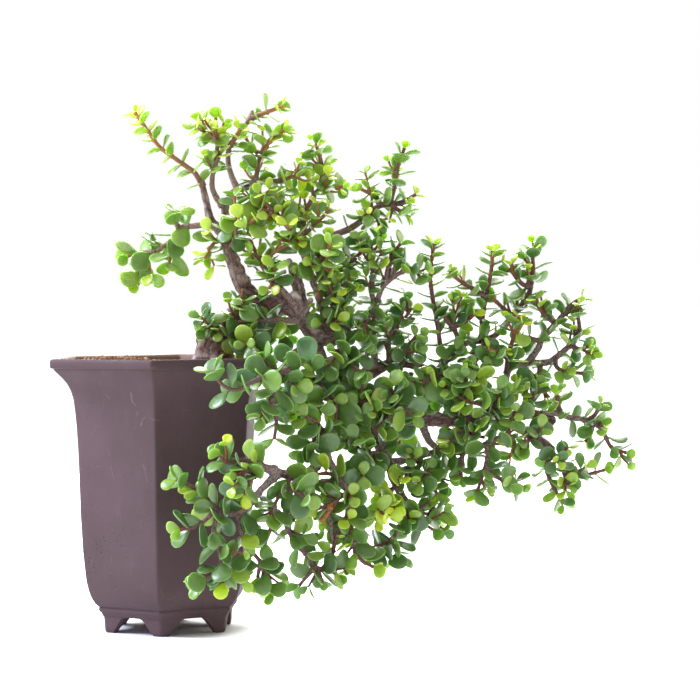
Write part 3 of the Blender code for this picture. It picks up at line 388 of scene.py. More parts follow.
# The branches: a name, the length of its leaves, its look, and its wood and twigs, base first.
BRANCHES = [
    # The crown over the pot: its yellower leaf tones are partly young growth, partly painted
    # backlight.
    ("crown_left_branch", 13, Look(0.68, 0.60, 0.0, 0.6, 0.92), [
        twig((36, -10, 406), (28, -11, 419), (20, -12, 425), (9, -12, 433), (-4, -11, 443),
             (-14, -10, 457), (-26, -9, 474)),
    ]),
    ("crown_tall_branch", 14, Look(0.54, 0.14, 0.45), [
        limb(2.7, 1.8, (53, -1, 388), (45, -4, 401), (44, -7, 414), (48, -10, 430), (50, -12, 454)),
        twig((49, -12, 450), (48, -12, 468)),
        twig((48, -12, 448), (41, -17, 455), (34, -19, 458)),
        twig((47, -10, 430), (53, 0, 440), (57, 6, 447)),
    ]),
    ("crown_top_branch", 13, Look(0.54, 0.55, 0.0, 0.8, 0.95), [
        limb(2.7, 1.8, (67, 2, 403), (60, 6, 420), (58, 8, 436), (64, 9, 451), (81, 10, 471)),
        twig((80, 10, 470), (97, 8, 476), (109, 6, 480)),
        twig((62, 9, 444), (70, -6, 458)),
    ]),
    ("crown_right_branch", 13, Look(0.48, 0.25, 0.50), [
        limb(3, 2.1, (78, 2, 407), (94, 2, 410), (108, 2, 412)),
        twig((105, 2, 411), (118, 0, 415), (128, -2, 417)),
        twig((84, 3, 408), (85, 13, 424), (90, 16, 442), (100, 14, 453), (110, 10, 458)),
        twig((87, 15, 436), (79, 22, 444), (74, 25, 452)),
        twig((86, 0, 407), (89, -12, 394), (99, -17, 374)),
        twig((100, 3, 410), (106, 17, 397), (117, 26, 376)),
    ]),
    ("crown_front_branch", 15, Look(0.38, 0.20, 0.30, 2.2, 1.05), [
        twig((60, -12, 350), (65, -24, 358), (67, -30, 376), (65, -30, 396)),
        twig((66, -29, 370), (77, -37, 371), (85, -42, 376)),
    ]),
    ("leader_branch", 15, Look(0.48, 0.20, 0.50), [
        twig((59, -10, 350), (50, -20, 356), (42, -25, 349), (38, -27, 340)),
    ]),
    ("left_branch", 17, Look(0.36, 0.16, 0.10, 3.0, 1.1), [
        limb(3, 2.2, (52, -10, 366), (40, -12, 371), (28, -13, 370), (16, -13, 369), (12, -13, 365),
             (7, -14, 358), (1, -15, 352)),
        twig((1, -15, 352), (-10, -16, 344), (-31, -17, 322)),
        twig((8, -14, 359), (8, -21, 346), (5, -24, 337)),
        twig((14, -13, 367), (11, -12, 374), (12, -13, 382)),
        # Not in the solids.
        twig((-8, -16, 346), (-20, -15, 346), (-33, -15, 343)),
    ]),
    ("diagonal_branch", 17, Look(0.24, 0.20, 0.42), [
        limb(3.6, 2.5, (126, -11, 286), (118, -20, 298), (107, -23, 311), (97, -23, 321),
             (87, -22, 341)),
        twig((88, -22, 339), (81, -22, 351), (78, -23, 362)),
        twig((91, -20, 334), (99, -30, 343), (107, -34, 353)),
        twig((99, -20, 321), (99, -29, 317), (97, -38, 313)),
    ]),
    # Short shoots on the trunk.
    ("trunk_left_branch", 16, Look(0.16, 0.12, 0.40, 1.5), [
        twig((72, -8, 288), (64, -22, 286), (53, -26, 280), (37, -28, 276)),
        twig((62, -22, 285), (69, -31, 296), (73, -33, 302)),
    ]),
    ("trunk_front_branch", 19, Look(0.16, 0.12, 0.50, 1.5), [
        twig((74, -10, 287), (79, -24, 273), (83, -32, 255)),
    ]),
    ("trunk_twig_branch", 16, PLAIN, [
        limb(2.9, 2.4, (123, -12, 283), (112, -21, 283), (100, -25, 284), (86, -26, 284)),
        twig((87, -26, 284), (76, -27, 283), (65, -29, 281), (58, -33, 277)),
    ]),
    # The upper right.
    ("upper_middle_branch", 12, Look(0.44, 0.30, 0.50), [
        limb(3.2, 1.9, (133, -12, 329), (127, 0, 344), (126, 6, 362), (128, 10, 380),
             (137, 14, 398), (144, 15, 408), (145, 15, 422)),
        twig((145, 15, 420), (143, 14, 433), (140, 13, 443)),
        twig((142, 15, 405), (153, 11, 405), (164, 7, 406)),
        twig((127, 4, 362), (134, -4, 367), (152, -11, 384)),
        twig((127, 9, 373), (120, 20, 383), (115, 25, 394)),
        twig((128, 2, 357), (136, 14, 353), (143, 22, 346)),
    ]),
    ("right_upper_branch", 13, Look(0.38, 0.28, 0.36, 0.7), [
        limb(3.8, 2.3, (132, -13, 337), (143, -6, 349), (154, 4, 360), (168, 9, 366),
             (182, 11, 375), (198, 12, 388), (218, 13, 390)),
        twig((207, 13, 389), (212, 15, 407), (215, 15, 424), (221, 14, 441)),
        twig((217, 13, 390), (231, 12, 398)),
        twig((198, 12, 388), (194, 10, 396), (181, 7, 403)),
        twig((208, 13, 389), (214, 6, 384), (222, 3, 380)),
        twig((190, 11, 382), (195, 2, 376), (197, -4, 368)),
    ]),
    ("rising_branch", 15, Look(0.38, 0.25, 0.60), [
        limb(3, 2.2, (132, -14, 341), (124, -16, 356), (113, -18, 369), (102, -20, 382)),
        twig((103, -20, 380), (95, -24, 388), (84, -29, 390), (75, -32, 384)),
        twig((124, -16, 356), (116, -28, 356), (107, -37, 356)),
    ]),
    ("rising_right_branch", 16, Look(0.30, 0.20, 0.70), [
        twig((133, -14, 334), (142, -24, 334), (153, -30, 329)),
        twig((140, -22, 334), (146, -32, 343), (152, -37, 351)),
    ]),
    ("middle_branch", 15, Look(0.20, 0.20, 0.60), [
        limb(3.2, 2, (141, -3, 274), (144, 0, 286), (147, 3, 298), (152, 6, 312), (160, 8, 329),
             (172, 9, 336)),
        twig((170, 9, 335), (177, 4, 342), (184, 0, 349)),
        twig((147, 3, 301), (157, -12, 301), (165, -22, 296)),
        twig((153, 7, 314), (159, 18, 321), (166, 27, 327)),
        # Not in the solids.
        twig((145, 1, 291), (143, -14, 300), (140, -24, 309)),
        twig((146, 2, 296), (152, -16, 306), (158, -26, 314)),
        twig((144, 0, 284), (150, -18, 284), (157, -30, 282)),
        twig((150, 5, 308), (143, -8, 318), (136, -18, 324)),
    ]),
    ("centre_branch", 15, PLAIN, [
        limb(3.2, 2.2, (192, 6, 238), (191, 4, 259), (192, 0, 278), (192, -3, 294), (189, -6, 312),
             (191, -8, 330)),
        limb(2.5, 2, (192, -2, 290), (198, -7, 310), (207, -10, 320), (218, -12, 327)),
        twig((191, -8, 328), (190, -10, 340), (189, -10, 350)),
        twig((217, -12, 326), (226, -13, 330), (233, -13, 323)),
        twig((202, -9, 315), (204, -12, 329), (208, -12, 342), (216, -12, 352)),
        twig((192, -3, 290), (185, -15, 283), (179, -23, 275)),
    ]),
    # The rough limb and the sprays it carries.
    ("rough_up_branch", 14, PLAIN, [
        twig((204, 9, 238), (205, 0, 256), (208, -4, 272), (218, -6, 282), (226, -8, 293)),
    ]),
    ("rough_front_branch", 19, CENTRE, [
        twig((157, -4, 266), (160, -24, 254), (155, -38, 249), (150, -47, 243)),
        twig((160, -24, 254), (169, -38, 245), (175, -46, 236)),
    ]),
    ("rough_top_branch", 17, Look(0.16, 0.12, 0.70), [
        twig((171, 3, 272), (170, -10, 273), (164, -20, 277), (156, -27, 286)),
    ]),
    ("rough_right_branch", 15, PLAIN, [
        twig((217, 12, 241), (218, 0, 250), (222, -8, 258), (229, -14, 267)),
    ]),
    ("trunk_right_branch", 20, CENTRE, [
        twig((151, -8, 235), (143, -32, 231), (131, -46, 227), (121, -53, 218)),
        twig((140, -36, 230), (143, -50, 222), (140, -56, 211)),
    ]),
    ("rough_bend_branch", 17, PLAIN, [
        twig((256, 18, 241), (256, 4, 234), (256, -4, 225), (261, -10, 214)),
        twig((256, 3, 233), (244, -12, 229), (233, -21, 224)),
    ]),
    ("first_upright", 13, Look(0.24, 0.50, 0.0, 0.7), [
        twig((257, 19, 243), (253, 12, 257), (250, 8, 278), (246, 6, 301), (244, 6, 322),
             (247, 6, 352)),
    ]),
    ("second_upright", 14, Look(0.22, 0.60, 0.18, 0.7), [
        twig((273, 21, 256), (268, 15, 268), (265, 14, 278), (269, 14, 290), (272, 14, 303)),
        twig((266, 15, 274), (257, 10, 285), (252, 8, 294)),
        twig((266, 15, 276), (277, 8, 281), (284, 3, 287)),
    ]),
    ("third_upright", 13, Look(0.22, 0.60, 0.18, 0.7), [
        twig((292, 24, 264), (292, 19, 279), (295, 16, 300), (300, 14, 324), (302, 14, 345)),
        twig((296, 16, 303), (282, 9, 311), (271, 6, 318), (262, 4, 326)),
    ]),
    ("rough_end_branch", 13, Look(0.22, 0.50, 0.32, 0.7), [
        limb(2.8, 2.3, (311, 26, 273), (322, 27, 286), (330, 28, 296), (336, 28, 302)),
        twig((335, 28, 301), (338, 26, 312), (340, 23, 329), (339, 21, 345)),
        twig((338, 26, 311), (329, 18, 315), (321, 13, 324), (319, 11, 333)),
        twig((319, 27, 286), (313, 19, 291), (301, 12, 302)),
    ]),
    ("rough_under_branch", 15, PLAIN, [
        twig((293, 24, 262), (294, 12, 254), (288, 6, 247), (280, 0, 238)),
    ]),
    # The grey fork on the right.
    ("orange_upright", 14, Look(0.22, 0.65, 0.20, 0.7), [
        twig((314, 14, 230), (314, 7, 240), (316, 4, 252), (320, 2, 266), (325, 1, 284)),
        twig((315, 5, 247), (305, -7, 252), (296, -11, 255)),
    ]),
    ("fork_outer_branch", 14, Look(0.22, 0.32, 0.34, 0.7, 0.92), [
        limb(3.2, 2.4, (338, 20, 240), (354, 21, 242), (364, 21, 249), (373, 20, 257),
             (383, 19, 268)),
        twig((382, 19, 266), (382, 18, 277), (379, 17, 291)),
        twig((374, 20, 258), (381, 14, 254), (390, 9, 256)),
        twig((358, 21, 246), (361, 14, 237), (369, 12, 233), (390, 8, 231)),
        twig((346, 20, 240), (344, 11, 230), (346, 4, 221), (349, -1, 210)),
        twig((343, 12, 231), (334, 1, 223), (324, -6, 215)),
    ]),
    ("fork_inner_branch", 14, Look(0.22, 0.34, 0.34, 0.7, 0.92), [
        limb(3.2, 2.2, (331, 20, 238), (339, 22, 247), (345, 22, 256), (348, 22, 264),
             (357, 23, 274), (366, 23, 284), (373, 23, 292)),
        twig((372, 23, 290), (378, 20, 297), (385, 18, 301)),
        twig((360, 23, 279), (352, 14, 283), (345, 10, 291), (342, 8, 300)),
        twig((347, 22, 261), (338, 14, 264), (328, 9, 267)),
    ]),
    # The long horizontal limb.
    ("main_riser_branch", 16, PLAIN, [
        twig((271, 1, 191), (271, -8, 203), (277, -12, 212), (286, -14, 222), (288, -16, 234)),
        twig((279, -12, 215), (272, -22, 224), (268, -27, 232)),
    ]),
    ("main_front_branch", 18, PLAIN, [
        twig((298, 1, 190), (298, -12, 198), (302, -20, 207), (310, -25, 215)),
        twig((298, -12, 198), (289, -24, 205), (280, -31, 207)),
    ]),
    ("main_under_branch", 17, PLAIN, [
        twig((279, 0, 188), (278, -10, 181), (282, -18, 176), (291, -23, 175)),
        twig((278, -10, 181), (269, -22, 179), (260, -29, 172)),
    ]),
    ("main_outer_branch", 16, PLAIN, [
        twig((329, 5, 195), (331, -4, 203), (337, -8, 212), (342, -11, 220)),
        twig((331, -4, 203), (322, -14, 199), (314, -21, 191)),
    ]),
    ("right_end_branch", 15, Look(0.22, 0.30, 0.20, 0.6, 0.88), [
        limb(3.3, 2.2, (345, 6, 193), (359, 8, 195), (371, 8, 191), (384, 7, 189), (400, 6, 185)),
        twig((399, 6, 185), (404, 4, 174), (410, 4, 163), (423, 2, 158)),
        twig((389, 7, 187), (395, 2, 194), (400, 0, 203)),
        twig((364, 8, 195), (361, 3, 203), (359, 1, 212)),
        twig((393, 6, 186), (392, 13, 176), (387, 15, 168)),
    ]),
    ("lower_right_branch", 17, Look(0.18, 0.30, 0.14, 0.6, 0.86), [
        limb(3.2, 2.4, (350, -5, 164), (358, -6, 154), (366, -7, 146), (377, -8, 137)),
        twig((376, -8, 137), (387, -8, 139), (402, -8, 143)),
        twig((354, -6, 157), (348, -14, 147), (352, -15, 133), (363, -17, 113)),
        twig((360, -7, 150), (364, -13, 158), (367, -17, 165)),
        twig((368, -7, 143), (365, -13, 134), (365, -17, 125)),
    ]),
    ("lower_right_inner_branch", 17, PLAIN, [
        twig((334, -4, 172), (332, -16, 171), (323, -24, 167)),
    ]),
    ("under_branch", 16, Look(0.16, 0.20, 0.34, 0.8, 0.92), [
        limb(3.3, 2.3, (235, -1, 187), (238, -7, 178), (242, -12, 170), (250, -17, 164),
             (265, -20, 161), (281, -22, 164), (301, -25, 173)),
        twig((300, -25, 172), (308, -26, 176), (314, -27, 182)),
        twig((293, -24, 168), (293, -34, 158), (289, -39, 143), (282, -41, 123)),
        twig((291, -38, 148), (302, -40, 139), (324, -40, 131)),
        twig((271, -21, 162), (270, -32, 152), (268, -39, 140)),
    ]),
    # The hanging limb in the middle.
    ("cascade_side_branch", 17, PLAIN, [
        limb(3.3, 2.4, (205, -25, 152), (216, -24, 154), (228, -23, 156), (240, -20, 160)),
        twig((239, -20, 160), (251, -22, 163), (259, -25, 157)),
        twig((231, -22, 157), (236, -32, 149), (241, -37, 139), (247, -39, 125)),
        twig((222, -24, 158), (221, -38, 148), (217, -45, 137)),
    ]),
    ("centre_left_branch", 21, CENTRE, [
        twig((157, -8, 222), (149, -34, 218), (140, -52, 210), (131, -61, 200)),
        twig((149, -34, 218), (156, -52, 208), (156, -61, 194)),
    ]),
    ("centre_low_left_branch", 20, CENTRE, [
        twig((154, -52, 185), (145, -68, 183), (136, -79, 176), (127, -83, 167)),
        twig((145, -68, 183), (139, -85, 193), (130, -93, 198)),
    ]),
    ("centre_middle_branch", 20, CENTRE, [
        twig((171, -6, 204), (169, -28, 199), (171, -44, 189), (178, -55, 176)),
        twig((169, -28, 199), (178, -44, 207), (187, -53, 212)),
    ]),
    ("centre_right_branch", 18, CENTRE, [
        twig((205, -3, 191), (206, -22, 199), (209, -34, 210), (206, -41, 222)),
        twig((206, -22, 199), (198, -38, 192), (192, -47, 184)),
        twig((208, -30, 205), (217, -42, 203), (226, -49, 197)),
    ]),
    ("cascade_front_branch", 20, CENTRE, [
        twig((198, -22, 162), (188, -42, 162), (179, -56, 154), (171, -65, 141)),
        twig((187, -43, 161), (174, -58, 170), (164, -67, 175)),
    ]),
    ("cascade_end_branch", 17, PLAIN, [
        limb(3.2, 2.2, (218, -39, 119), (221, -41, 110)),
        twig((220, -41, 112), (225, -40, 105), (233, -38, 99), (243, -36, 92)),
        twig((222, -41, 109), (237, -30, 106), (249, -26, 101)),
        twig((220, -41, 111), (213, -48, 99), (207, -52, 84), (210, -51, 74), (211, -50, 66)),
        twig((208, -51, 87), (198, -54, 79), (191, -55, 69)),
    ]),
    ("cascade_rosette_branch", 18, Look(0.68, 0.30, 0.20), [
        twig((210, -34, 132), (203, -54, 127), (196, -70, 119), (191, -81, 106)),
    ]),
    # The sprays that fall in front of the pot.
    ("rim_branch", 20, Look(0.14, 0.12, 0.18), [
        limb(3.6, 2.5, (144, -10, 246), (138, -36, 251), (122, -68, 245), (110, -98, 239),
             (92, -116, 234)),
        twig((93, -115, 234), (84, -124, 231), (70, -131, 224), (58, -135, 229), (50, -136, 241)),
        twig((111, -97, 239), (106, -108, 229), (99, -115, 215), (91, -119, 203)),
        twig((123, -68, 245), (121, -84, 232), (114, -93, 216), (107, -97, 200)),
        twig((100, -114, 216), (104, -112, 197), (102, -109, 180)),
    ]),
    ("lower_left_tip_branch", 17, Look(0.18, 0.28, 0.10), [
        limb(4, 2.3, (102, -116, 152), (93, -121, 156), (86, -124, 160)),
        twig((86, -124, 160), (74, -131, 163), (63, -136, 161), (55, -138, 168)),
        twig((93, -121, 156), (88, -131, 150), (81, -139, 145), (77, -143, 134)),
        twig((88, -130, 150), (78, -142, 154), (70, -147, 152)),
    ]),
    ("lower_left_right_branch", 19, Look(0.14, 0.15, 0.30, 1.3), [
        twig((117, -104, 147), (111, -119, 138), (104, -128, 127), (99, -131, 115)),
        twig((111, -118, 138), (121, -130, 136), (129, -137, 130)),
        twig((102, -129, 123), (100, -128, 107), (94, -126, 90)),
    ]),
    ("front_fall_branch", 18, Look(0.18, 0.22, 0.06, 1.3), [
        limb(3.5, 2.1, (104, -115, 149), (90, -126, 136), (78, -130, 121), (65, -133, 116),
             (50, -134, 123), (38, -134, 135)),
        twig((39, -134, 134), (29, -136, 142), (18, -139, 147)),
        twig((52, -134, 121), (43, -140, 112), (33, -143, 106), (21, -146, 104)),
        twig((56, -134, 118), (50, -138, 106), (53, -139, 89), (57, -139, 72), (57, -139, 57)),
        twig((70, -132, 117), (72, -134, 104), (79, -133, 88), (93, -131, 69), (100, -131, 48)),
        twig((56, -139, 71), (45, -142, 63), (35, -145, 57)),
        twig((58, -139, 68), (67, -135, 63), (75, -132, 59)),
        twig((90, -132, 73), (88, -126, 66), (87, -125, 60)),
    ]),
    ("lower_middle_branch", 18, PLAIN, [
        limb(3.4, 2.5, (126, -94, 148), (114, -104, 130), (112, -106, 106), (120, -104, 88),
             (129, -104, 78)),
        twig((128, -104, 79), (134, -104, 72), (140, -104, 62), (143, -104, 54)),
        twig((138, -104, 67), (130, -108, 59), (123, -109, 51)),
        twig((139, -104, 65), (150, -100, 62), (156, -98, 58)),
        twig((113, -105, 108), (121, -116, 121), (131, -123, 130)),
    ]),
    ("lower_centre_branch", 18, Look(0.24, 0.30, 0.55), [
        limb(3.6, 2.8, (146, -72, 163), (157, -82, 145), (166, -87, 130), (167, -90, 107),
             (173, -90, 78)),
        twig((166, -87, 130), (159, -100, 127), (150, -108, 122), (139, -113, 118)),
        twig((167, -90, 110), (159, -98, 100), (154, -99, 86), (152, -98, 74)),
        twig((173, -90, 79), (178, -88, 70), (188, -86, 64)),
        twig((158, -83, 142), (149, -94, 148), (139, -103, 148)),
    ]),
    # Sprays on the side away from the front.
    ("rear_low_branch", 17, PLAIN, [
        twig((211, -2, 191), (213, 20, 191), (215, 36, 179), (217, 47, 164)),
        twig((213, 20, 191), (204, 38, 185), (196, 49, 174)),
    ]),
    ("rear_high_branch", 17, PLAIN, [
        twig((182, 4, 234), (185, 24, 254), (190, 40, 273), (197, 49, 285)),
        twig((185, 26, 256), (175, 42, 267), (166, 53, 276)),
    ]),
    ("rear_right_branch", 16, PLAIN, [
        twig((263, 0, 190), (265, 22, 205), (270, 38, 216), (275, 47, 228)),
        twig((265, 22, 205), (257, 38, 203), (249, 49, 196)),
        twig((266, 26, 208), (279, 40, 204), (290, 49, 197)),
    ]),
    ("rear_left_branch", 17, PLAIN, [
        twig((98, -5, 300), (93, 22, 285), (87, 36, 275), (87, 47, 261)),
        twig((93, 22, 285), (100, 38, 277), (108, 51, 265)),
    ]),
]


# ---- Lines, shapes and pieces ----

class Line:
    """A smooth line through points, read by the distance along it."""

    FINENESS = 8
    REACH = 0.8

    def __init__(self, points):
        ends = [points[0] * 2 - points[1], *points, points[-1] * 2 - points[-2]]
        self.points = []
        for a, b, c, d in zip(ends, ends[1:], ends[2:], ends[3:]):
            for k in range(self.FINENESS):
                t = k / self.FINENESS
                self.points.append(
                    0.5 * (2 * b + (c - a) * t + (2 * a - 5 * b + 4 * c - d) * t * t
                           + (3 * b - a - 3 * c + d) * t ** 3)
                )
        self.points.append(points[-1])
        self.marks = [0.0]
        for a, b in zip(self.points, self.points[1:]):
            self.marks.append(self.marks[-1] + (b - a).length)
        self.length = self.marks[-1]

    def at(self, distance):
        distance = min(max(distance, 0.0), self.length)
        for k in range(len(self.points) - 1):
            if distance <= self.marks[k + 1]:
                span = self.marks[k + 1] - self.marks[k]
                share = (distance - self.marks[k]) / span if span else 0.0
                return self.points[k].lerp(self.points[k + 1], share)
        return self.points[-1]

    def along(self, distance):
        """The direction of the line at a distance."""
        return (self.at(distance + self.REACH) - self.at(distance - self.REACH)).normalized()

    def nearest(self, point):
        """The gap to the nearest place on the line, and that place."""
        best = None
        for a, b in zip(self.points, self.points[1:]):
            share = min(max(intersect_point_line(point, a, b)[1], 0.0), 1.0)
            place = a.lerp(b, share)
            gap = (place - point).length
            if best is None or gap < best[0]:
                best = (gap, place)
        return best


class Shape:
    """Points, faces and the numbers that a material reads, gathered for one mesh."""

    def __init__(self):
        self.points, self.faces, self.values = [], [], {}
        self.count = 0

    def add(self, points, faces, **values):
        """Adds points and faces that index them. Each value is one number, or one a point."""
        points = np.asarray(points, dtype=float)
        self.points.append(points)
        self.faces += [[self.count + k for k in face] for face in faces]
        for name, numbers in values.items():
            self.values.setdefault(name, []).append(np.broadcast_to(numbers, len(points)))
        self.count += len(points)

    def mesh(self, name):
        mesh = bpy.data.meshes.new(name)
        points = np.concatenate(self.points) * MM + np.array(POT_AXIS)
        mesh.from_pydata(points.tolist(), [], self.faces)
        for value, numbers in self.values.items():
            store(mesh, value, np.concatenate(numbers))
        mesh.shade_smooth()
        return mesh

    def tree(self):
        """A search tree over the faces, in millimetres."""
        return BVHTree.FromPolygons(np.concatenate(self.points).tolist(), self.faces, epsilon=0.0)


def store(mesh, name, numbers):
    """Gives each point of a mesh a number, or a place, that a material reads by name."""
    numbers = np.asarray(numbers, dtype=np.float32)
    kind, field = ("FLOAT", "value") if numbers.ndim == 1 else ("FLOAT_VECTOR", "vector")
    mesh.attributes.new(name, kind, "POINT").data.foreach_set(field, numbers.ravel())


def placed(name, data, collection=None):
    """A new object for some data, put into the scene or into a collection."""
    made = bpy.data.objects.new(name, data)
    (collection or bpy.context.scene.collection).objects.link(made)
    return made


def put(name, mesh, finish, slot, *nodes):
    """Makes a mesh a piece of the plant that stands for some CAD nodes."""
    mesh.materials.clear()
    mesh.materials.append(finish)
    piece = placed(name, mesh)
    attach(piece, "root")
    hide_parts(*nodes)
    return piece


def evaluated_mesh(holder):
    """The mesh of an object after its modifiers. The object itself is removed."""
    bpy.context.view_layer.update()
    graph = bpy.context.evaluated_depsgraph_get()
    result = bpy.data.meshes.new_from_object(holder.evaluated_get(graph))
    bpy.data.objects.remove(holder, do_unlink=True)
    return result


def worked(mesh, *modifiers):
    """A mesh after modifiers, each given as its kind and its settings."""
    holder = placed("holder", mesh)
    for kind, settings in modifiers:
        modifier = holder.modifiers.new(kind, kind)
        for name, value in settings.items():
            setattr(modifier, name, value)
    return evaluated_mesh(holder)


def united(mesh, others):
    """A mesh joined with others by an exact Boolean."""
    operands = bpy.data.collections.new("operands")
    bpy.context.scene.collection.children.link(operands)
    for other in others:
        placed("operand", other, operands)
    result = worked(mesh, ("BOOLEAN", {
        "operation": "UNION", "operand_type": "COLLECTION", "collection": operands,
        "solver": "EXACT",
    }))
    for operand in list(operands.objects):
        bpy.data.objects.remove(operand, do_unlink=True)
    bpy.data.collections.remove(operands)
    return result


def mesh_points(mesh):
    """A mesh's points in millimetres from the pot's axis."""
    points = np.empty(len(mesh.vertices) * 3, dtype=np.float32)
    mesh.vertices.foreach_get("co", points)
    return (points.reshape(-1, 3) - np.array(POT_AXIS)) / MM


def mesh_normals(mesh):
    normals = np.empty(len(mesh.vertices) * 3, dtype=np.float32)
    mesh.vertex_normals.foreach_get("vector", normals)
    return normals.reshape(-1, 3)


def set_points(mesh, points):
    """Moves a mesh's points to places in millimetres from the pot's axis."""
    places = points * MM + np.array(POT_AXIS)
    mesh.vertices.foreach_set("co", places.astype(np.float32).ravel())
    mesh.update()


def tree_of(piece):
    """A search tree over a piece's faces, in millimetres from the pot's axis."""
    faces = [tuple(face.vertices) for face in piece.data.polygons]
    return BVHTree.FromPolygons(mesh_points(piece.data).tolist(), faces, epsilon=0.0)


def noise_over(points, wavelength, seed, octaves=1):
    """Smooth noise from about -1 to 1 at each point, its features about a wavelength across."""
    offset = Vector((seed, seed * 1.7, -seed))
    scale = 1.0 / wavelength
    if octaves == 1:
        return np.array([noise.noise(Vector(point) * scale + offset) for point in points])
    return np.array([
        noise.fractal(Vector(point) * scale + offset, 0.9, 2.1, octaves) for point in points
    ])


def level_way(angle):
    """The level direction at an angle round the pot's axis."""
    return Vector((math.cos(angle), math.sin(angle), 0))


def skin(sections, sides):
    """The faces between closed sections that follow each other, each with a number of points."""
    around = [(j, (j + 1) % sides) for j in range(sides)]
    return [
        (low + j, low + after, low + sides + after, low + sides + j)
        for low in range(0, (sections - 1) * sides, sides) for j, after in around
    ]


def loft(shape, sections, **values):
    """Skins closed sections of equal point counts, first to last, and closes both ends."""
    count = len(sections[0])
    points = [point for section in sections for point in section]
    faces = skin(len(sections), count)
    faces.append(tuple(reversed(range(count))))
    faces.append(tuple(range(len(points) - count, len(points))))
    shape.add(points, faces, **values)


def tube(shape, stations, sides, uneven, seed, **values):
    """A tube along (point, radius) stations, closed at both ends. Each value is one per station."""
    rings, across, count = [], None, len(stations)
    for k, (point, radius) in enumerate(stations):
        along = (stations[min(k + 1, count - 1)][0] - stations[max(k - 1, 0)][0]).normalized()
        if across is None:
            across = along.orthogonal()
        across = (across - along * across.dot(along)).normalized()
        aside = along.cross(across)
        for j in range(sides):
            a = math.tau * j / sides
            out = across * math.cos(a) + aside * math.sin(a)
            place = point + out * radius
            bulge = noise.noise(place * TUBE_NOISE + Vector((seed, 0, seed)))
            place += out * radius * uneven * bulge
            rings.append(place)
    faces = skin(count, sides)
    tip, last_ring = len(rings), (count - 1) * sides
    (before, _), (last, last_radius) = stations[-2:]
    rings.append(last + (last - before).normalized() * last_radius * 0.5)
    rings.append(stations[0][0])
    faces += [(last_ring + j, last_ring + (j + 1) % sides, tip) for j in range(sides)]
    faces += [((j + 1) % sides, j, tip + 1) for j in range(sides)]
    spread = {
        name: np.concatenate([np.repeat(numbers, sides), [numbers[-1], numbers[0]]])
        for name, numbers in values.items()
    }
    shape.add([tuple(place) for place in rings], faces, **spread)


# ---- Materials ----

class Finish:
    """A material under construction: one Principled shader and the nodes that feed it."""

    def __init__(self, name, **sockets):
        self.material = bpy.data.materials.new(name)
        self.material.use_nodes = True
        self.tree = self.material.node_tree
        self.shader = self.tree.nodes["Principled BSDF"]
        self.set(**sockets)

    def set(self, **sockets):
        for name, value in sockets.items():
            self.feed(self.shader.inputs[name.replace("_", " ")], value)

    def feed(self, socket, value):
        if isinstance(value, bpy.types.NodeSocket):
            self.tree.links.new(value, socket)
        elif hasattr(socket.default_value, "__len__") and len(socket.default_value) == 4:
            socket.default_value = (*value, 1)
        else:
            socket.default_value = value

    def node(self, kind, inputs=(), **settings):
        made = self.tree.nodes.new("ShaderNode" + kind)
        for name, value in settings.items():
            setattr(made, name, value)
        for key, value in dict(inputs).items():
            self.feed(made.inputs[key], value)
        return made

    def places(self):
        """Where a point is on the object, in metres."""
        return self.node("TexCoord").outputs["Object"]

    def squeezed(self, up):
        """Places with their heights squeezed: what is drawn by them is drawn out upwards."""
        made = self.node("Mapping", {"Vector": self.places(), "Scale": (1.0, 1.0, up)})
        return made.outputs["Vector"]

    def value(self, name):
        return self.node("Attribute", attribute_name=name).outputs["Fac"]

    def near(self, place, spread, elsewhere):
        """1 near a place, given in millimetres, falling to a lower number beyond a spread."""
        there = Vector(place) * MM + POT_AXIS
        far = self.node("VectorMath", {0: self.places(), 1: there}, operation="DISTANCE")
        share = self.maths("DIVIDE", far.outputs["Value"], spread * MM)
        return self.ramp(share, (0.55, 1.0), (1.0, elsewhere))

    def noise(self, wavelength, detail=3.0, roughness=0.55, places=None, distortion=0.0):
        """Noise from 0 to 1 with features about a wavelength (in millimetres) across."""
        return self.node("TexNoise", {
            "Vector": places or self.places(), "Scale": 1 / (wavelength * MM), "Detail": detail,
            "Roughness": roughness, "Distortion": distortion,
        }).outputs["Fac"]

    def cells(self, wavelength, feature="F1", places=None):
        """The distance to a cell's middle, or to its edge. Cells are about a wavelength across."""
        return self.node("TexVoronoi", {
            "Vector": places or self.places(), "Scale": 1 / (wavelength * MM),
        }, feature=feature).outputs["Distance"]

    def ramp(self, factor, *stops):
        """Colours or greys by a number: each stop is (place, colour) or (place, grey)."""
        made = self.node("ValToRGB", {"Fac": factor})
        elements = made.color_ramp.elements
        while len(elements) < len(stops):
            elements.new(0.5)
        for element, (place, colour) in zip(elements, stops):
            element.position = place
            element.color = (*(colour if hasattr(colour, "__len__") else [colour] * 3), 1)
        return made.outputs["Color"]

    def mix(self, factor, first, second, blend="MIX"):
        """Two colours mixed. The node's sockets for colours are found by number."""
        made = self.node("Mix", data_type="RGBA", blend_type=blend)
        self.feed(made.inputs["Factor"], factor)
        self.feed(made.inputs[6], first)
        self.feed(made.inputs[7], second)
        return made.outputs[2]

    def maths(self, operation, first, second):
        return self.node("Math", {0: first, 1: second}, operation=operation).outputs[0]

    def times(self, first, second):
        return self.maths("MULTIPLY", first, second)

    def swayed(self, number, noise, depth):
        """A number with noise round it, half above and half below."""
        return self.maths("ADD", number, self.times(self.maths("SUBTRACT", noise, 0.5), depth))

    def bump(self, height, strength, distance, under=None):
        """Relief from a height, its distance in millimetres."""
        inputs = {"Height": height, "Strength": strength, "Distance": distance * MM}
        made = self.node("Bump", inputs)
        if under:
            self.feed(made.inputs["Normal"], under)
        return made.outputs["Normal"]


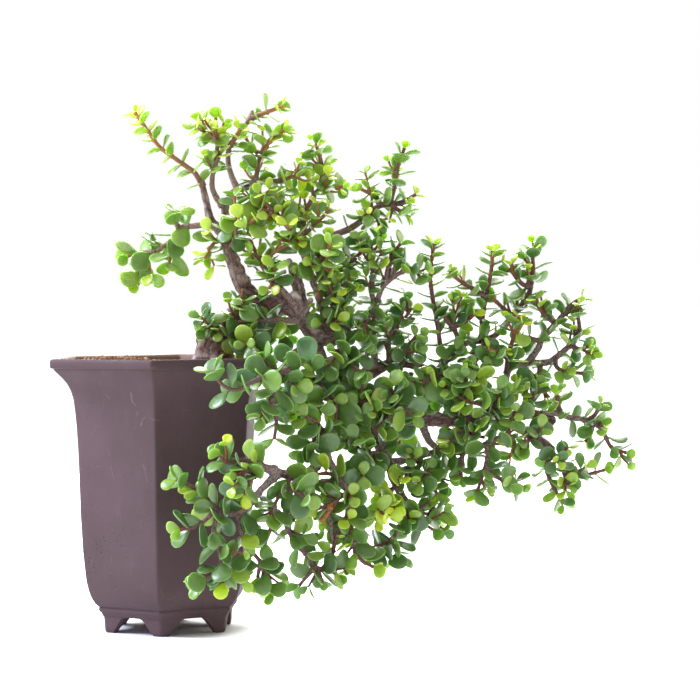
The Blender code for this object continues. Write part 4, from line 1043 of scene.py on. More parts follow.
def clay_scratches(clay):
    """Thin bent lines, few and far between, most of them round one place."""
    bend = clay.node("TexNoise", {"Vector": clay.places(), "Scale": 30.0, "Detail": 2.0})
    bent = clay.node("VectorMath", {
        0: bend.outputs["Color"], 1: (0.025, 0.025, 0.025), 2: clay.squeezed(0.30),
    }, operation="MULTIPLY_ADD").outputs["Vector"]
    thin = clay.ramp(clay.cells(25, "DISTANCE_TO_EDGE", bent), (0.0, 1.0), (0.010, 0.0))
    few = clay.times(thin, clay.ramp(clay.noise(17, 3), (0.54, 0.0), (0.60, 1.0)))
    return clay.times(few, clay.near(SCRATCH_PLACE, SCRATCH_SPREAD, 0.25))


def clay_pits(clay):
    """Small round pits in patches, most of them round one place."""
    pits = clay.ramp(clay.cells(3.4), (0.20, 1.0), (0.32, 0.0))
    patches = clay.ramp(clay.noise(24, 3), (0.46, 0.0), (0.56, 1.0))
    return clay.times(clay.times(pits, patches), clay.near(PIT_PLACE, PIT_SPREAD, 0.2))


def clay_finish():
    """Unglazed purple-brown clay: fine grain, faint smudges, thin scratches and a few pits."""
    clay = Finish("unglazed_clay", Metallic=0.0)
    wiped = clay.noise(26, 4, 0.6, clay.squeezed(0.28))
    pitted = clay_pits(clay)
    fired = (0.3, (0.066, 0.036, 0.035)), (0.7, (0.088, 0.050, 0.054))
    colour = clay.ramp(clay.noise(70, 3), *fired)
    colour = clay.mix(clay.ramp(wiped, (0.52, 0.0), (0.80, 0.45)), colour, (0.118, 0.076, 0.084))
    grains = clay.ramp(clay.noise(0.9, 2), (0.30, 0.35), (0.48, 0.0))
    colour = clay.mix(grains, colour, (0.085, 0.052, 0.050))
    colour = clay.mix(clay.times(clay_scratches(clay), 0.55), colour, (0.36, 0.30, 0.29))
    colour = clay.mix(clay.times(pitted, 0.85), colour, (0.020, 0.012, 0.011))
    # Soil stain on the inner wall, in a duller brown that partly paints shade.
    colour = clay.mix(clay.times(clay.value("inside"), 0.85), colour, (0.22, 0.130, 0.090))
    relief = clay.bump(clay.noise(1.3, 4, 0.65), 0.28, 0.25)
    relief = clay.bump(clay.noise(22, 2, 0.5, clay.squeezed(0.5)), 0.30, 1.2, relief)
    relief = clay.bump(clay.maths("SUBTRACT", 0.0, pitted), 0.5, 0.5, relief)
    clay.set(Base_Color=colour, Normal=relief, Specular_IOR_Level=0.35,
             Roughness=clay.ramp(wiped, (0.3, 0.62), (0.8, 0.80)))
    return clay.material


def soil_finish():
    """Crumbly soil: granules from dark brown to orange clay, told apart by a value."""
    soil = Finish("crumbly_soil", Metallic=0.0, Specular_IOR_Level=0.2)
    tint = soil.ramp(
        soil.value("tone"), (0.0, (0.045, 0.022, 0.013)), (0.35, (0.16, 0.075, 0.035)),
        (0.7, (0.34, 0.17, 0.075)), (1.0, (0.50, 0.31, 0.17)),
    )
    fine = soil.noise(1.1, 4, 0.65)
    colour = soil.mix(soil.ramp(fine, (0.35, 0.6), (0.6, 0.0)), tint, (0.06, 0.03, 0.018))
    soil.set(Base_Color=colour, Roughness=soil.ramp(fine, (0.3, 0.98), (0.8, 0.86)),
             Normal=soil.bump(fine, 0.6, 0.5))
    return soil.material


def bark_colour(bark, grain, rough):
    """Grey-brown ridges along the grain, dark wrinkles, rusty patches, flakes and cracks."""
    ridges = bark.maths("ADD", bark.times(bark.value("height"), 0.45), bark.times(rough, 0.55))
    colour = bark.ramp(
        ridges, (0.32, (0.060, 0.037, 0.033)), (0.43, (0.200, 0.130, 0.116)),
        (0.54, (0.390, 0.284, 0.256)), (0.70, (0.52, 0.42, 0.38)),
    )
    rusty = bark.ramp(bark.noise(9, 3, places=grain), (0.50, 0.0), (0.60, 0.60))
    colour = bark.mix(rusty, colour, (0.215, 0.108, 0.064))
    flaked = bark.times(bark.ramp(bark.noise(9, 4, 0.6), (0.50, 0.0), (0.62, 1.0)),
                        bark.ramp(rough, (0.48, 0.0), (0.60, 0.45)))
    colour = bark.mix(flaked, colour, (0.47, 0.39, 0.36))
    cracks = bark.ramp(bark.cells(4.5, "DISTANCE_TO_EDGE", grain), (0.02, 0.5), (0.09, 0.0))
    return bark.mix(cracks, colour, (0.045, 0.028, 0.023))


def bark_finish():
    """Old bark with painted shade in some places; pale where it was cut, partly as a painted sunlit
    highlight, or near black.
    """
    bark = Finish("old_bark", Metallic=0.0, Specular_IOR_Level=0.25)
    grain = bark.node("Attribute", attribute_name="grain").outputs["Vector"]
    rough = bark.maths("ADD", bark.times(bark.noise(4.2, 4, 0.58, distortion=0.6), 0.4),
                       bark.times(bark.noise(2.6, 4, 0.62, grain), 0.6))
    colour = bark_colour(bark, grain, rough)
    # Painted shade: the old wood is darkened round each of these places.
    for place, spread in PAINTED_WOOD_SHADE:
        colour = bark.mix(bark.near(place, spread, 0.0), colour, (0.84, 0.73, 0.76), "MULTIPLY")
    cut = bark.value("cut")
    # Cut wood: pale, and made nearly white as a painted sunlit highlight; near black at old cuts.
    colour = bark.mix(bark.ramp(cut, (0.5, 0.0), (1.0, 0.9)), colour, (0.86, 0.71, 0.65))
    colour = bark.mix(bark.ramp(cut, (0.0, 0.9), (0.5, 0.0)), colour, (0.016, 0.011, 0.010))
    relief = bark.bump(bark.noise(0.9, 5, 0.7), 0.5, 0.4, bark.bump(rough, 0.7, 1.1))
    bark.set(Base_Color=colour, Roughness=bark.ramp(rough, (0.3, 0.92), (0.8, 0.70)), Normal=relief)
    return bark.material


def stem_finish():
    """Young wood by its age: orange tips, red-brown shoots, then purple-brown and grey limbs."""
    stem = Finish("young_wood", Metallic=0.0, Specular_IOR_Level=0.3)
    speckle = stem.noise(1.7, 4, 0.65)
    plain_age = stem.value("age")
    age = stem.swayed(plain_age, speckle, 0.30)
    colour = stem.ramp(
        age, (0.0, (0.38, 0.33, 0.050)), (0.12, (0.52, 0.200, 0.052)),
        (0.28, (0.230, 0.078, 0.050)), (0.45, (0.190, 0.100, 0.085)),
        (0.72, (0.270, 0.176, 0.156)), (1.0, (0.400, 0.305, 0.278)),
    )
    colour = stem.mix(stem.ramp(speckle, (0.36, 0.85), (0.52, 0.0)), colour, (0.034, 0.019, 0.016))
    sunlit = stem.times(stem.near(*SUNLIT_CROWN, 0.0), stem.ramp(age, (0.20, 0.75), (0.62, 0.12)))
    colour = stem.mix(sunlit, colour, (0.56, 0.260, 0.080))
    pale = stem.times(stem.ramp(stem.noise(4.0, 4, 0.7), (0.55, 0.0), (0.68, 0.75)),
                      stem.ramp(plain_age, (0.35, 0.0), (0.6, 1.0)))
    colour = stem.mix(pale, colour, (0.42, 0.34, 0.31))
    stem.set(Base_Color=colour, Normal=stem.bump(speckle, 0.6, 0.6),
             Roughness=stem.ramp(plain_age, (0.1, 0.42), (0.6, 0.8)))
    return stem.material


def leaf_finish():
    """Fleshy leaves: deep green when mature, yellow-green when young, with a pale margin brightened
    as painted rim light.
    """
    leaf = Finish("fleshy_leaf", Metallic=0.0)
    mottle = leaf.noise(4.5, 3)
    colour = leaf.ramp(
        leaf.swayed(leaf.value("tone"), mottle, 0.35),
        (0.0, (0.066, 0.150, 0.034)), (0.35, (0.160, 0.286, 0.038)),
        (0.62, (0.295, 0.432, 0.036)), (1.0, (0.560, 0.700, 0.020)),
    )
    bloom = leaf.ramp(leaf.value("bloom"), (0.0, 0.0), (1.0, 0.60))
    colour = leaf.mix(bloom, colour, (0.160, 0.275, 0.150))
    # The pale edge: partly the leaf's own margin, partly painted rim light from behind.
    rim = leaf.ramp(leaf.value("rim"), (0.60, 0.0), (1.0, 0.40))
    colour = leaf.mix(rim, colour, (0.60, 0.76, 0.30))
    relief = leaf.bump(mottle, 0.10, 0.5, leaf.bump(leaf.noise(0.8, 2), 0.06, 0.1))
    leaf.set(Base_Color=colour, Normal=relief,
             Roughness=leaf.ramp(mottle, (0.3, 0.34), (0.8, 0.46)),
             Subsurface_Weight=0.7, Subsurface_Radius=(0.60, 1.0, 0.10), Subsurface_Scale=0.005,
             Specular_IOR_Level=0.45, Coat_Weight=0.32, Coat_Roughness=0.28)
    return leaf.material


# ---- The pot ----

def rounded_hexagon(radius, height):
    """The pot's level outline: points round each rounded corner, then along the side after it."""
    half = math.pi / POT_SIDES
    rounding = min(POT_ROUNDING, radius * POT_ROUNDING_SHARE)
    reach = radius - rounding / math.cos(half)

    def corner_point(angle, turn):
        return level_way(angle) * reach + level_way(angle + turn) * rounding

    points = []
    turns = [half * (2 * j / CORNER_STEPS - 1) for j in range(CORNER_STEPS + 1)]
    for k in range(POT_SIDES):
        angle = POT_TURN + math.tau * k / POT_SIDES
        points += [corner_point(angle, turn) for turn in turns]
        start, goal = points[-1], corner_point(angle + math.tau / POT_SIDES, -half)
        points += [start.lerp(goal, j / SIDE_STEPS) for j in range(1, SIDE_STEPS)]
    return [(p.x, p.y, height) for p in points]


def refined(profile):
    """A profile with extra points, so that none is over the wall's step higher than the last."""
    result = [profile[0]]
    for (r0, h0), (r1, h1) in zip(profile, profile[1:]):
        pieces = max(1, math.ceil(abs(h1 - h0) / WALL_STEP))
        result += [
            (r0 + (r1 - r0) * k / pieces, h0 + (h1 - h0) * k / pieces) for k in range(1, pieces + 1)
        ]
    return result


def pot_foot(corner):
    """A bracket foot under one corner: its flanks flare outward as they rise to meet the base."""
    angle = POT_TURN + math.tau * corner / POT_SIDES
    outward, left, right = (level_way(angle + turn) for turn in (0, POT_CORNER, -POT_CORNER))
    back = outward * FOOT_DEPTH
    sections = []
    for reach, point, heel, height in FOOT_LEVELS:
        tip = outward * point
        first, second = tip + right * FOOT_ROUNDING, tip + left * FOOT_ROUNDING
        section = []
        for j in range(FOOT_CORNER_STEPS + 1):
            share = j / FOOT_CORNER_STEPS
            section.append(first.lerp(tip, share).lerp(tip.lerp(second, share), share))
        section += [tip + left * reach, tip + left * (reach - FOOT_DRAW_IN) - back]
        section += [outward * heel + left * HEEL_HALF, outward * heel + right * HEEL_HALF]
        section += [tip + right * (reach - FOOT_DRAW_IN) - back, tip + right * reach]
        sections.append([(p.x, p.y, height) for p in section])
    shape = Shape()
    loft(shape, sections)
    return shape.mesh("foot")


def build_pot(finish):
    wall = Shape()
    levels = refined(POT_OUTSIDE) + refined(POT_INSIDE)
    loft(wall, [rounded_hexagon(*level) for level in levels])
    mesh = united(wall.mesh("pot_wall"), [pot_foot(corner) for corner in range(POT_SIDES)])
    points, normals = mesh_points(mesh), mesh_normals(mesh)
    inward = (points[:, :2] * normals[:, :2]).sum(axis=1) < STAIN_AND_SHADE_FACING
    store(mesh, "inside", inward & (points[:, 2] > STAIN_AND_SHADE_FLOOR))
    sway = sum(noise_over(points, width, seed) * depth for width, seed, depth in POT_WAVES)
    points += normals * (sway * np.clip(points[:, 2] / SWAY_RISE, 0, 1))[:, None]
    set_points(mesh, points)
    mesh.shade_smooth()
    mesh.set_sharp_from_angle(angle=POT_SHARP)
    return put("hexagonal_pot", mesh, finish, "clay", "pot")


# ---- The soil ----

def hexagon_share(x, y):
    """How far a place is from the axis, as a share of the way to the pot's side there."""
    angle = math.atan2(y, x) - POT_TURN - math.pi / POT_SIDES
    sector = math.tau / POT_SIDES
    angle = (angle + sector / 2) % sector - sector / 2
    return math.hypot(x, y) * math.cos(angle) / (SOIL_RADIUS * math.cos(math.pi / POT_SIDES))


def soil_height(x, y):
    """The bed's height at a place: a low mound, with a heap of coarse soil at the front left."""
    mound = SOIL_TOP + MOUND_RISE - MOUND_FALL * hexagon_share(x, y) ** 3
    across, along, rise = HEAP_SIZE
    far = ((x - HEAP_PLACE[0]) / across) ** 2 + ((y - HEAP_PLACE[1]) / along) ** 2
    return mound + rise * max(0.0, 1 - far) ** HEAP_BLUNTNESS


def soil_bed():
    """The bed as a closed skin: rings from the wall to the middle over a flat underside."""
    sections = [rounded_hexagon(SOIL_RADIUS, SOIL_TOP - SOIL_DEPTH)]
    for k in range(SOIL_RINGS):
        ring = rounded_hexagon(SOIL_RADIUS * (1.0 - k / SOIL_RINGS), 0.0)
        sections.append([(x, y, soil_height(x, y)) for x, y, _ in ring])
    bed = Shape()
    loft(bed, sections, tone=BED_TONE)
    return bed


def plain_ball():
    """The points and faces of a ball of radius 1."""
    ball = bmesh.new()
    bmesh.ops.create_icosphere(ball, subdivisions=1, radius=1.0)
    points = np.array([vertex.co for vertex in ball.verts])
    faces = [[vertex.index for vertex in face.verts] for face in ball.faces]
    ball.free()
    return points, faces


def crumb_points(ball, draw):
    """The points of a knobbly crumb that lies on the bed, clear of the wall."""
    size = draw.uniform(*CRUMB_SIZES) * draw.uniform(CRUMB_SMALLER, 1.0)
    while True:
        x, y = (draw.uniform(-SOIL_RADIUS, SOIL_RADIUS) for _ in range(2))
        if hexagon_share(x, y) * SOIL_RADIUS < SOIL_RADIUS - size * CRUMB_CLEARANCE:
            break
    height = soil_height(x, y) + size * draw.uniform(*CRUMB_RISE)
    scale = np.array([size * draw.uniform(*CRUMB_STRETCH) for _ in range(3)])
    knobs = np.array([draw.uniform(*CRUMB_KNOBS) for _ in ball])[:, None]
    turn = np.array(Matrix.Rotation(draw.uniform(0, math.tau), 3, (0.3, 0.5, 0.8)))
    return (ball * knobs * scale) @ turn.T + np.array((x, y, height))


def build_soil(finish):
    """A bed of fine soil with loose crumbs pressed into it."""
    draw = random.Random("soil")
    soil = soil_bed()
    ball, faces = plain_ball()
    for _ in range(CRUMB_COUNT):
        points = crumb_points(ball, draw)
        tone = draw.gauss(CRUMB_TONE, CRUMB_TONE_SPREAD)
        soil.add(points, faces, tone=min(1.0, max(0.0, tone)))
    mesh = soil.mesh("soil")
    mesh.shade_flat()
    return put("crumbly_soil", mesh, finish, "soil", "soil")


# ---- The old wood ----

def stations_along(points):
    """Stations along a smooth line through (x, y, z, radius) points."""
    line = Line([Vector(point[:3]) for point in points])
    marks = line.marks[::Line.FINENESS]
    radii = [point[3] for point in points]
    count = max(2, round(line.length / LIMB_STEP))
    distances = [line.length * k / count for k in range(count + 1)]
    return [(line.at(distance), float(np.interp(distance, marks, radii))) for distance in distances]


def knob_stations(x, y, z, radius):
    """Stations up through a round knob."""
    rises = [math.radians(degrees) for degrees in range(-80, 81, 20)]
    return [(Vector((x, y, z + radius * math.sin(a))), radius * math.cos(a)) for a in rises]


def old_wood_skin():
    """The trunk, its limbs, its roots and its knobs as one closed skin."""
    shape = Shape()
    for number, points in enumerate((TRUNK, *LIMBS.values(), *ROOTS)):
        tube(shape, stations_along(points), LIMB_SIDES, LIMB_UNEVEN, number * 3.1)
    for knob in KNOBS:
        tube(shape, knob_stations(*knob), LIMB_SIDES, KNOB_UNEVEN, knob[0])
    return worked(
        shape.mesh("old_wood"),
        ("REMESH", {"mode": "VOXEL", "voxel_size": BARK_VOXEL * MM, "use_smooth_shade": True}),
        ("SMOOTH", {"factor": 0.5, "iterations": 3}),
    )


def grain_places(points, limbs):
    """Where points lie in the nearest limb's grain: two places across it, a squeezed one along."""
    centres, frames = KDTree(sum(len(stations) for stations in limbs)), []
    for stations in limbs:
        across, way = Vector((0, 1, 0)), 0.0
        for k, (centre, _) in enumerate(stations):
            before, after = stations[max(k - 1, 0)][0], stations[min(k + 1, len(stations) - 1)][0]
            along = (after - before).normalized()
            across = (across - along * across.dot(along)).normalized()
            way += (centre - before).length
            centres.insert(centre, len(frames))
            frames.append((centre, across, along.cross(across), along, way))
    centres.balance()
    places = []
    for point in map(Vector, points):
        centre, across, aside, along, way = frames[centres.find(point)[1]]
        reach = point - centre
        squeezed = (reach.dot(along) + way) * GRAIN_SQUEEZE
        places.append((reach.dot(across), reach.dot(aside), squeezed))
    return np.array(places)


def cut_values(points, lumps):
    """How near points are to a cut: 0.5 away from all, 1 at a pale one and 0 at a dark one."""
    values = np.full(len(points), 0.5)
    for cuts, way in ((PALE_AND_SUNLIT_CUTS, 0.5), (DARK_CUTS, -0.5)):
        for x, y, z, reach in cuts:
            far = np.linalg.norm(points - np.array((x, y, z)), axis=1) / reach + lumps * CUT_RAGGED
            values += way * np.clip(CUT_SHARPNESS * (1 - far), 0, 1)
    return np.clip(values, 0, 1)


def build_old_wood(finish):
    """The old wood with its bark in relief: lumps, wrinkles, and fissures along the grain."""
    mesh = old_wood_skin()
    points = mesh_points(mesh)
    grain = grain_places(points, [stations_along(route) for route in (TRUNK, *LIMBS.values())])
    store(mesh, "grain", grain * MM)
    lumps = noise_over(points, LUMP_WIDTH, 1.0, 2)
    wrinkles = noise_over(points, WRINKLE_WIDTH, 7.0, 3)
    furrows = np.abs(noise_over(grain, FISSURE_WIDTH, 3.0, 2))
    fissures = np.clip(1 - furrows * FISSURE_SHARPNESS, 0, 1) ** 3
    height = LUMP_HEIGHT * lumps + WRINKLE_HEIGHT * wrinkles - FISSURE_DEPTH * fissures
    points += mesh_normals(mesh) * height[:, None]
    set_points(mesh, points)
    store(mesh, "height", np.clip(HEIGHT_MIDDLE + height * HEIGHT_SCALE, 0, 1))
    store(mesh, "cut", cut_values(points, lumps))
    mesh.shade_smooth()
    return put("trunk_and_old_limbs", mesh, finish, "bark", "trunk_and_limbs")


# ---- Shoots ----

class Shoot:
    """One length of young wood: its line, its thickness and age, and where its leaves stand."""

    def __init__(self, points, radii, ages, leaf, turn, look, bare=0.0):
        self.line = Line(points)
        self.radii, self.ages, self.look = radii, ages, look
        self.leaf, self.turn = leaf, turn
        self.nodes = self.node_marks(bare)

    def node_marks(self, bare):
        """Distances of the leaf pairs, closer together towards the tip."""
        start = self.line.length * bare + min(FIRST_PAIR, self.line.length * FIRST_PAIR_SHARE)
        room = self.line.length - start
        count = max(1, round(room / (self.leaf * PAIR_SHARE))) if room > PAIR_ROOM else 1
        marks = [start + room * (1 - (1 - k / count) ** PAIR_CROWDING) for k in range(count)]
        return marks + [self.line.length]

    def between(self, ends, distance):
        """A number at a distance along the line, from its numbers at the line's two ends."""
        return ends[0] + (ends[1] - ends[0]) * (distance / self.line.length)

    def radius(self, distance):
        return self.between(self.radii, distance)

    def age(self, distance):
        return self.between(self.ages, distance)

    def way_out(self, number, side, sway):
        """The ways out from the wood and along it, at one side of a node. Pairs cross."""
        along = self.line.along(self.nodes[number])
        across = along.orthogonal().normalized()
        angle = self.turn + number * math.pi / 2 + side * math.pi + sway
        return Matrix.Rotation(angle, 3, along) @ across, along

    def draw(self, shape):
        """The wood, a little swollen at each pair of leaves and at its foot."""
        length = self.line.length
        marks = {0.0, length} | {k * RING_STEP for k in range(int(length / RING_STEP) + 1)}
        for node in self.nodes:
            marks |= {min(length, max(0.0, node + shift)) for shift in NODE_RINGS}
        stations, ages, last = [], [], -RING_STEP
        for mark in sorted(marks):
            if mark - last < RING_GAP:
                continue
            last = mark
            swell = sum(
                NODE_SWELL * math.exp(-((mark - node) / NODE_REACH) ** 2) for node in self.nodes
            )
            foot = FOOT_SWELL * math.exp(-mark / (FOOT_REACH * self.radii[0]))
            radius = self.radius(mark) * (1 + min(swell, NODE_SWELL) + foot)
            stations.append((self.line.at(mark), radius))
            ages.append(self.age(mark))
        sides, uneven = THICK_SKIN if self.radii[0] > THICK_SHOOT else THIN_SKIN
        tube(shape, stations, sides, uneven, length, age=ages)


def light_way(place, face):
    """Where leaves turn to from a place: the sky, and low in the plant also outward from it."""
    low = min(1.0, max(0.0, (FACING_TOP - place.z) / FACING_DEPTH))
    outward = Vector((0.0, -face if place.y < FACING_MIDDLE else face, 0.0))
    out = OUTWARD + OUTWARD_MORE * low
    return (UP * (1.0 - SKY_LESS * low) + outward * out).normalized()


def side_shoot(shoot, number, side, draw):
    """A short shoot from the axil of one leaf, which bends up to the light."""
    node = shoot.nodes[number]
    out, along = shoot.way_out(number, side, draw.uniform(-SIDE_TURN, SIDE_TURN))
    start = shoot.line.at(node)
    way = (out * SIDE_OUT + along * SIDE_ALONG + light_way(start, 1.0) * SIDE_LIGHT).normalized()
    bent_way = (way + along * SIDE_BEND_ALONG + UP * SIDE_BEND_UP).normalized()
    length = shoot.leaf * draw.uniform(*SIDE_LENGTHS)
    middle = start + way * length * SIDE_MIDDLE
    end = middle + bent_way * length * (1 - SIDE_MIDDLE)
    radii = (min(SIDE_THICKEST, shoot.radius(node) * SIDE_RADIUS), SIDE_TIP_RADIUS)
    ages = (max(SIDE_YOUNGEST, shoot.age(node) - SIDE_YOUNGER), shoot.ages[1])
    leaf = shoot.leaf * draw.uniform(*SIDE_LEAVES)
    turn = shoot.turn + number * SHOOT_ROLL + side
    return Shoot([start, middle, end], radii, ages, leaf, turn, shoot.look)


def side_shoots(shoot, draw):
    """The short shoots of a planned shoot, more of them on a bushy branch."""
    return [
        side_shoot(shoot, number, side, draw)
        for number, side in itertools.product(range(len(shoot.nodes) - 1), (0, 1))
        if draw.random() <= shoot.look.bushy
    ]


def planned_shoots(leaf_length, plans, look):
    """The shoots of a branch as its plan gives them, each starting on the line of an elder one."""
    shoots = []
    leaf = (LEAF_BASE + leaf_length * LEAF_GROWTH) * look.size
    for number, plan in enumerate(plans):
        points, radii = [Vector(point) for point in plan["points"]], plan["radii"]
        if shoots:
            nearest = [shoot.line.nearest(points[0]) for shoot in shoots]
            points[0] = min(nearest, key=lambda found: found[0])[1]
        ages, bare = LIMB_AGES, LIMB_BARE
        if plan["leafy"]:
            ages, bare = [age - younger * look.fresh for age, younger in TWIG_AGES], 0.0
            radii = [radius * (1 + FRESH_THICKNESS * look.fresh) for radius in radii]
        shoots.append(Shoot(points, radii, ages, leaf, SHOOT_ROLL * number, look, bare))
    return shoots


# ---- Leaves ----

def leaf_outline():
    """The leaf's edge as places along it and across it: a round blade that narrows to its foot."""
    outline = []
    for k in range(LEAF_SEGMENTS):
        angle = math.tau * k / LEAF_SEGMENTS
        reach = (1 + math.cos(angle)) / 2
        if reach > LEAF_CENTRE:
            half = math.sqrt(max(0.0, 1 - ((reach - LEAF_CENTRE) / (1 - LEAF_CENTRE)) ** 2))
        else:
            widened = math.sin(math.pi / 2 * reach / LEAF_CENTRE) ** LEAF_WIDENING
            half = LEAF_FOOT + (1 - LEAF_FOOT) * widened
        on_middle_line = k % (LEAF_SEGMENTS // 2) == 0
        outline.append((reach, 0.0 if on_middle_line else math.copysign(half, math.sin(angle))))
    return outline


def leaf_template():
    """A leaf of length 1 and half-width 1: rows of places along and across it, of heights and of
    nearness to the edge, which marks the painted rim light, and its faces."""
    outline, points, faces = leaf_outline(), [], []
    around = [(k, (k + 1) % LEAF_SEGMENTS) for k in range(LEAF_SEGMENTS)]

    def add_ring(scale, side):
        height, rim = side * math.sqrt(1 - scale ** 4), float(scale == 1.0)
        for reach, half in outline:
            points.append((LEAF_CENTRE + (reach - LEAF_CENTRE) * scale, half * scale, height, rim))

    add_ring(1.0, 0)
    for side in (1, -1):
        outer = 0
        for scale in LEAF_RINGS:
            inner = len(points)
            add_ring(scale, side)
            faces += [
                (outer + k, outer + after, inner + after, inner + k)[::side] for k, after in around
            ]
            outer = inner
        middle = len(points)
        points.append((LEAF_CENTRE, 0.0, side, 0.0))
        faces += [(outer + k, outer + after, middle)[::side] for k, after in around]
    return np.array(points).T, faces


(LEAF_ALONG, LEAF_ACROSS, LEAF_HEIGHT, LEAF_RIM_LIGHT), LEAF_FACES = leaf_template()
# A plain plate in the room of a leaf, for the test of whether it has room, and half its thickness.
PLATE = [(0.34, -0.55), (0.62, -0.92), (0.95, -0.42), (0.95, 0.42), (0.62, 0.92), (0.34, 0.55)]
PLATE_HALF = 0.8
PLATE_FACES = [tuple(range(6)), tuple(range(11, 5, -1))]
PLATE_FACES += [(k, k + 6, (k + 1) % 6 + 6, (k + 1) % 6) for k in range(6)]


class Leaf:
    """One leaf: its foot, its blade's direction and normal, its length and its curvature."""

    def __init__(self, foot, blade, normal, length, draw):
        self.foot, self.length = foot, length
        self.normal = normal.normalized()
        self.blade = (blade - self.normal * blade.dot(self.normal)).normalized()
        self.side = self.normal.cross(self.blade)
        self.width = length * LEAF_WIDTH * draw.uniform(*LEAF_WIDTHS)
        self.cup, self.bend, self.twist = (draw.uniform(*limits) for limits in LEAF_CURVES)

    def lift(self, reach, half):
        """How far the curved blade stands off its plane at a place."""
        curve = self.cup * half ** 2 + self.bend * reach ** 2 + self.twist * half * reach
        return self.length * curve

    def tip(self):
        return self.foot + self.blade * self.length

    def middle(self):
        return self.foot + self.blade * self.length * LEAF_CENTRE

    def tree(self):
        """A search tree over the plate that stands for the leaf."""
        corners = []
        for height in (PLATE_HALF, -PLATE_HALF):
            for reach, half in PLATE:
                lift = self.lift(reach, half) + height
                corners.append(
                    self.foot + self.blade * reach * self.length
                    + self.side * half * self.width / 2 + self.normal * lift
                )
        return BVHTree.FromPolygons(corners, PLATE_FACES, epsilon=0.0)

    def draw(self, shape, tone, bloom):
        share = LEAF_THINNEST + LEAF_THICKENING * self.length / FULL_LEAF
        thick = LEAF_THICKNESS / 2 * share
        lift = self.lift(LEAF_ALONG, LEAF_ACROSS) + LEAF_HEIGHT * thick
        points = (
            np.array(self.foot) + np.outer(LEAF_ALONG * self.length, self.blade)
            + np.outer(LEAF_ACROSS * self.width / 2, self.side) + np.outer(lift, self.normal)
        )
        shape.add(points, LEAF_FACES, tone=tone, bloom=bloom, rim=LEAF_RIM_LIGHT)


def hides_wood(middle):
    """Whether a leaf in front of the wood lies over a place that is open to view."""
    return middle.y < FACING_MIDDLE and any(
        math.hypot(middle.x - x, middle.z - z) < reach + LEAF_CLEARANCE for x, z, reach in CLEARINGS
    )


class Crowd:
    """The room already taken: solid things, and leaves found by the cell they stand in."""

    CELL = 16.0

    def __init__(self, solids):
        self.solids, self.cells = solids, {}

    def near(self, cell):
        """The leaves in a cell and in those that touch it."""
        for steps in itertools.product((-1, 0, 1), repeat=3):
            yield from self.cells.get(tuple(map(sum, zip(cell, steps))), ())

    def has_room(self, leaf):
        """Whether a leaf stands free. One that does takes its room."""
        middle = leaf.middle()
        if leaf.tip().z < LOWEST_LEAF or hides_wood(middle):
            return False
        tree = leaf.tree()
        cell = tuple(math.floor(place / self.CELL) for place in middle)
        if any(tree.overlap(other) for other in itertools.chain(self.solids, self.near(cell))):
            return False
        self.cells.setdefault(cell, []).append(tree)
        return True


def leaf_at(shoot, number, side, draw, rise, length):
    """A leaf on one side of a node, its face turned a little towards the light."""
    node, face = shoot.nodes[number], shoot.look.face
    out, along = shoot.way_out(number, side, draw.uniform(-LEAF_TURN, LEAF_TURN))
    tilt = rise + draw.uniform(-LEAF_TILT, LEAF_TILT)
    blade = out * math.cos(tilt) + along * math.sin(tilt)
    normal = along * math.cos(tilt) - out * math.sin(tilt)
    light = light_way(shoot.line.at(node), face)
    if normal.dot(light) < 0:
        normal = -normal
    normal += light * draw.uniform(*LEAF_TO_LIGHT) * face * (1.0 - abs(blade.dot(light)))
    normal += out.cross(along) * draw.uniform(-LEAF_TURN, LEAF_TURN)
    foot = shoot.line.at(node) + out * shoot.radius(node) * LEAF_SEAT
    return Leaf(foot, blade, normal, length, draw)


def pair_habit(shoot, number, draw):
    """How steeply a pair of leaves stands, its length and its tone. The last pair is the bud's."""
    share, look = (number + 1) / len(shoot.nodes), shoot.look
    rise = math.radians(PAIR_RISE + PAIR_RISE_MORE * share ** 2)
    length = shoot.leaf * (PAIR_LENGTH - PAIR_LENGTH_LESS * share ** 2.5)
    last = number == len(shoot.nodes) - 1
    if last:
        rise = math.radians(BUD_RISE)
        length = shoot.leaf * draw.uniform(*BUD_LENGTHS) * (1 - BUD_FRESH_LESS * look.fresh)
    tone = look.tone + TIP_TONE * share ** 3 + draw.gauss(0, PAIR_TONE_SPREAD)
    return rise, length, tone + look.fresh if last else tone


def leaf_colour(tone, draw):
    """One leaf's own tone, now and then a young one's, and its bloom, which a yellow leaf lacks."""
    young = YOUNG_TONE if draw.random() < YOUNG_CHANCE else 0.0
    own_tone = min(1.0, max(0.0, tone + young + draw.gauss(0, LEAF_TONE_SPREAD)))
    return own_tone, max(0.0, draw.gauss(BLOOM, BLOOM_SPREAD) * (1 - 2 * own_tone))


def grow_leaves(shoot, crowd, draw, shape):
    """Pairs of leaves at the nodes, where they find room; returns how many there are."""
    grown = 0
    for number in range(len(shoot.nodes)):
        rise, length, tone = pair_habit(shoot, number, draw)
        for side in (0, 1):
            for attempt in range(LEAF_TRIES):
                own_length = length * draw.uniform(*LEAF_LENGTHS) * (1 - LEAF_SHRINK * attempt)
                leaf = leaf_at(shoot, number, side, draw, rise + LEAF_RAISE * attempt, own_length)
                if crowd.has_room(leaf):
                    leaf.draw(shape, *leaf_colour(tone, draw))
                    grown += 1
                    break
    return grown


# ---- The branches ----

def wood_of(shoots):
    wood = Shape()
    for shoot in shoots:
        shoot.draw(wood)
    return wood


